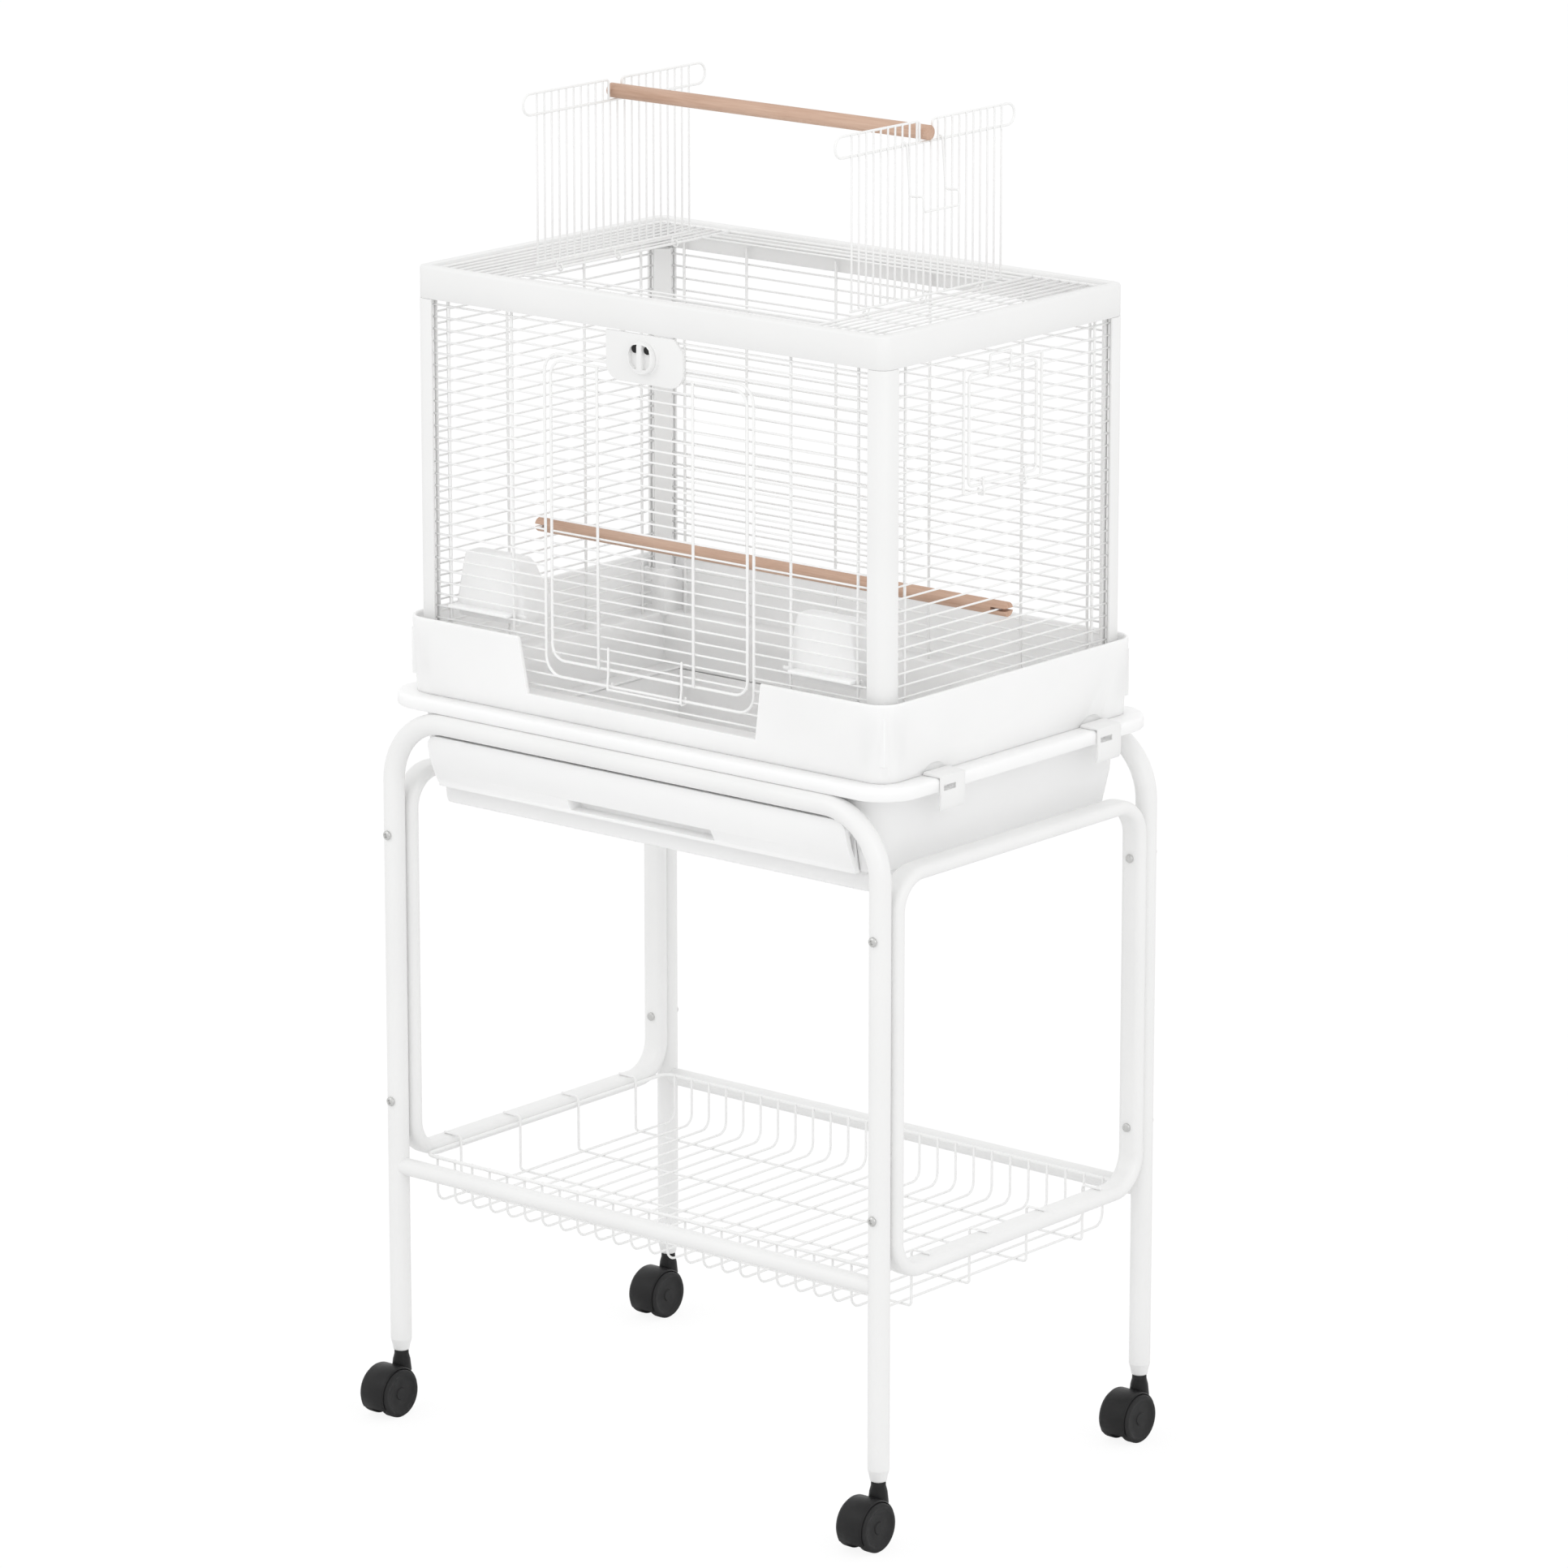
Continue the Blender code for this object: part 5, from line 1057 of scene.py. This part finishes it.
def make_clasp():
    """One bent wire: an eye, an arm stepped outwards, the crossbar, and the same again."""
    arc = [math.radians(215 - 14 * i) for i in range(16)]

    def half_route(y):
        eye = [(CLASP_EYE_R * math.cos(a), y, CLASP_EYE_R * math.sin(a)) for a in arc]
        arm = [(CLASP_EYE_R, y, -0.003), (CLASP_EYE_R, y, -0.050),
               (CLASP_OUT, y, -0.050), (CLASP_OUT, y, -0.065)]
        return [Vector(point) for point in eye], arm

    (first_eye, first_arm), (last_eye, last_arm) = (half_route(y) for y in CLASP_Y)
    path = first_eye + rounded(first_arm + last_arm[::-1], 0.0030, 5) + last_eye[::-1]
    points, faces = wire(path, CLASP_WIRE_R, 10)
    lean = Matrix.Translation((GATE_X, 0, CHORD_Z)) @ Matrix.Rotation(math.radians(-5), 4, "Y")
    clasp = build_object("gate_clasp_wire", ([lean @ point for point in points], faces))
    finish(clasp, WIRE, "white_wire", "gate_clasp", "gate_clasp")


def stick(half, z):
    ends = ((0, PERCH_R - 0.0014), (0.0003, PERCH_R - 0.0006), (0.0012, PERCH_R))
    profile = ends + tuple((2 * half - at, radius) for at, radius in reversed(ends))
    return turned((-half, 0, z), (1, 0, 0), profile, 40)


def make_perches():
    """One in the gates' notches, and one in the cage with a slot at each end for a row."""
    top = build_object("top_perch_stick", stick(PERCH_TOP_HALF, CHORD_Z + 0.0014 + GAP + PERCH_R))
    finish(top, WOOD, "wood", "top_perch", "top_perch")
    z = row_z(PERCH_LOW_ROW)
    low = build_object("lower_perch_stick", stick(PERCH_LOW_HALF, z))
    for side in (-1, 1):
        cut(low, block((side * PERCH_SLOT[0], -0.02, z - 0.0015), (side * PERCH_SLOT[1], 0.02, z + 0.0015)))
    finish(low, WOOD, "wood", ROOT, "lower_perch")


def make_feeder(node, side):
    """A tapered cup, its upper half open towards the bird, with a rail that hooks it to a row."""
    x = side * FEEDER_X
    front, low, high, wall = FEEDER_FRONT, FEEDER_LOW, FEEDER_TOP, FEEDER_WALL

    def cup(stations, shrink):
        rings = []
        for z, wide, deep in stations:
            centre = Vector((x, front + deep / 2, 0))
            ring = rectangle_ring(wide / 2 - shrink, deep / 2 - shrink, 0.005 - shrink, z, 5)
            rings.append([centre + point for point in ring])
        return lofted(rings)

    outer = ((low, 0.082, 0.038), (low + 0.0015, 0.087, 0.043), (low + 0.012, 0.094, 0.050),
             (high - 0.008, 0.0735, 0.032), (high - 0.002, 0.0695, 0.027), (high, 0.065, 0.023))
    inner = ((low + wall, 0.084, 0.040), (low + 0.012, 0.094, 0.050), (high - 0.008, 0.0735, 0.032),
             (high - wall, 0.067, 0.025))
    body = build_object(f"{node}_cup", cup(outer, 0))
    cut(body, cup(inner, wall))
    cut(body, block((x - 0.031, front + 0.012, low + 0.020), (x + 0.031, front + 0.08, high - 0.008)))
    row = math.floor((low + 0.010 - ROW_FIRST) / ROW_PITCH)
    z = row_z(row) + 0.0015
    top = z + FEEDER_RAIL_THICK
    weld(body, block((x - 0.050, front - 0.0012, z), (x + 0.050, front + 0.001, top)))
    weld(body, block((side * FEEDER_RAIL[0], -PANEL_Y - 0.006, z),
                     (side * FEEDER_RAIL[1], front + 0.001, top)))
    soften(body, 0.0005, 45)
    finish(body, TRAY, "white_plastic", node, node)


make_portal("front_portal", -LEG_Y)
make_portal("rear_portal", LEG_Y)
make_loop("left_side_loop", -LEG_X)
make_loop("right_side_loop", LEG_X)
make_rail("front_lower_rail", -LEG_Y)
make_rail("rear_lower_rail", LEG_Y)
for end, sy in (("front", -1), ("rear", 1)):
    for name, sx in (("left", -1), ("right", 1)):
        for level, z in zip(("low", "high"), BOLT_ROWS):
            make_bolt(f"bolt_{level}_{end}_{name}", sx * LEG_X, sy * LEG_Y, z)
        make_caster(f"{end}_{name}", sx * LEG_X, sy * LEG_Y)
        make_post(f"post_{end}_{name}", sx, sy)
make_basket()
make_tray()
make_drawer()
make_base()
for name, side in (("left", -1), ("right", 1)):
    for end, y in zip(("front", "rear"), CLIP_Y):
        make_clip(f"clip_{end}_{name}", side, y)
    make_gate(f"{name}_gate", side)
    make_feeder(f"feeder_{name}", side)
make_panel("front_panel", FRONT, LONG_BARS, FRONT_HOLE)
make_panel("rear_panel", REAR, LONG_BARS)
make_panel("left_panel", LEFT, SHORT_BARS)
make_panel("right_panel", RIGHT, SHORT_BARS, SIDE_HOLE)
latch_z = sum(row_z(row) for row in PLATE_ROWS) / 2
make_front_door()
make_latch_plate(latch_z)
make_latch_knob(latch_z)
make_side_door()
make_rim()
make_roof()
make_clasp()
make_perches()


# The studio

def blank_tree(owner, output):
    """An emptied node tree, its output's input socket and the sockets that tell which ray is at work."""
    owner.use_nodes = True
    tree = owner.node_tree
    tree.nodes.clear()
    return tree, tree.nodes.new(output).inputs["Surface"], tree.nodes.new("ShaderNodeLightPath").outputs


def mix_into(tree, target, share, first, second):
    mix = tree.nodes.new("ShaderNodeMixShader")
    for socket, value in zip(mix.inputs, (share, first, second)):
        tree.links.new(value, socket)
    tree.links.new(mix.outputs["Shader"], target)


def make_floor():
    """A wide white floor that is mostly its own light to the camera, and matt to everything else."""
    reach = 9
    floor = build_object("studio_floor", (rectangle(reach, reach, 0), [(0, 1, 2, 3)]))
    floor.location.z = -0.0002
    material = bpy.data.materials.new("studio_white")
    tree, surface, rays = blank_tree(material, "ShaderNodeOutputMaterial")
    glow = tree.nodes.new("ShaderNodeEmission")
    glow.inputs["Strength"].default_value = 1.04
    matt = tree.nodes.new("ShaderNodeBsdfDiffuse")
    matt.inputs["Color"].default_value = (0.86, 0.86, 0.86, 1)
    share = maths(tree, "MULTIPLY", rays["Is Camera Ray"], 0.86)
    mix_into(tree, surface, share, matt.outputs["BSDF"], glow.outputs["Emission"])
    floor.data.materials.append(material)


def make_world(strength):
    """White all round: one strength for lighting, and full white where it is seen or mirrored."""
    world = bpy.data.worlds.new("studio")
    bpy.context.scene.world = world
    tree, surface, rays = blank_tree(world, "ShaderNodeOutputWorld")
    lights = []
    for power in (strength, 1.0):
        light = tree.nodes.new("ShaderNodeBackground")
        light.inputs["Color"].default_value = (1, 1, 1, 1)
        light.inputs["Strength"].default_value = power
        lights.append(light.outputs["Background"])
    seen = maths(tree, "MAXIMUM", rays["Is Camera Ray"], rays["Is Glossy Ray"])
    mix_into(tree, surface, seen, *lights)


def make_lamp(name, place, target, size, power):
    data = bpy.data.lights.new(name, "AREA")
    data.size = size
    data.energy = power
    lamp = bpy.data.objects.new(name, data)
    bpy.context.scene.collection.objects.link(lamp)
    lamp.location = place
    lamp.rotation_euler = (Vector(target) - Vector(place)).to_track_quat("-Z", "Y").to_euler()


def make_camera(azimuth, elevation, distance, lens, target):
    """A square camera, solved from the photograph. Azimuth goes from the front towards +X."""
    a = math.radians(azimuth)
    e = math.radians(elevation)
    out = Vector((math.sin(a) * math.cos(e), -math.cos(a) * math.cos(e), math.sin(e)))
    data = bpy.data.cameras.new("camera")
    data.lens = lens
    data.sensor_width = 36
    data.sensor_height = 36
    data.clip_end = 60
    camera = bpy.data.objects.new("camera", data)
    bpy.context.scene.collection.objects.link(camera)
    camera.location = Vector(target) + out * distance
    camera.rotation_euler = (-out).to_track_quat("-Z", "Y").to_euler()
    bpy.context.scene.camera = camera


make_floor()
make_world(strength=0.97)
make_lamp("key", place=(-1.6, -3.4, 3.4), target=(0, 0, 0.8), size=2.2, power=14)
make_lamp("fill", place=(3.6, -1.6, 2.2), target=(0, 0, 0.7), size=2.4, power=16)
make_camera(azimuth=39.742, elevation=14.320, distance=7.772, lens=174.77, target=(0.01233, 0.01026, 0.68615))
bpy.context.scene.view_settings.view_transform = "Standard"
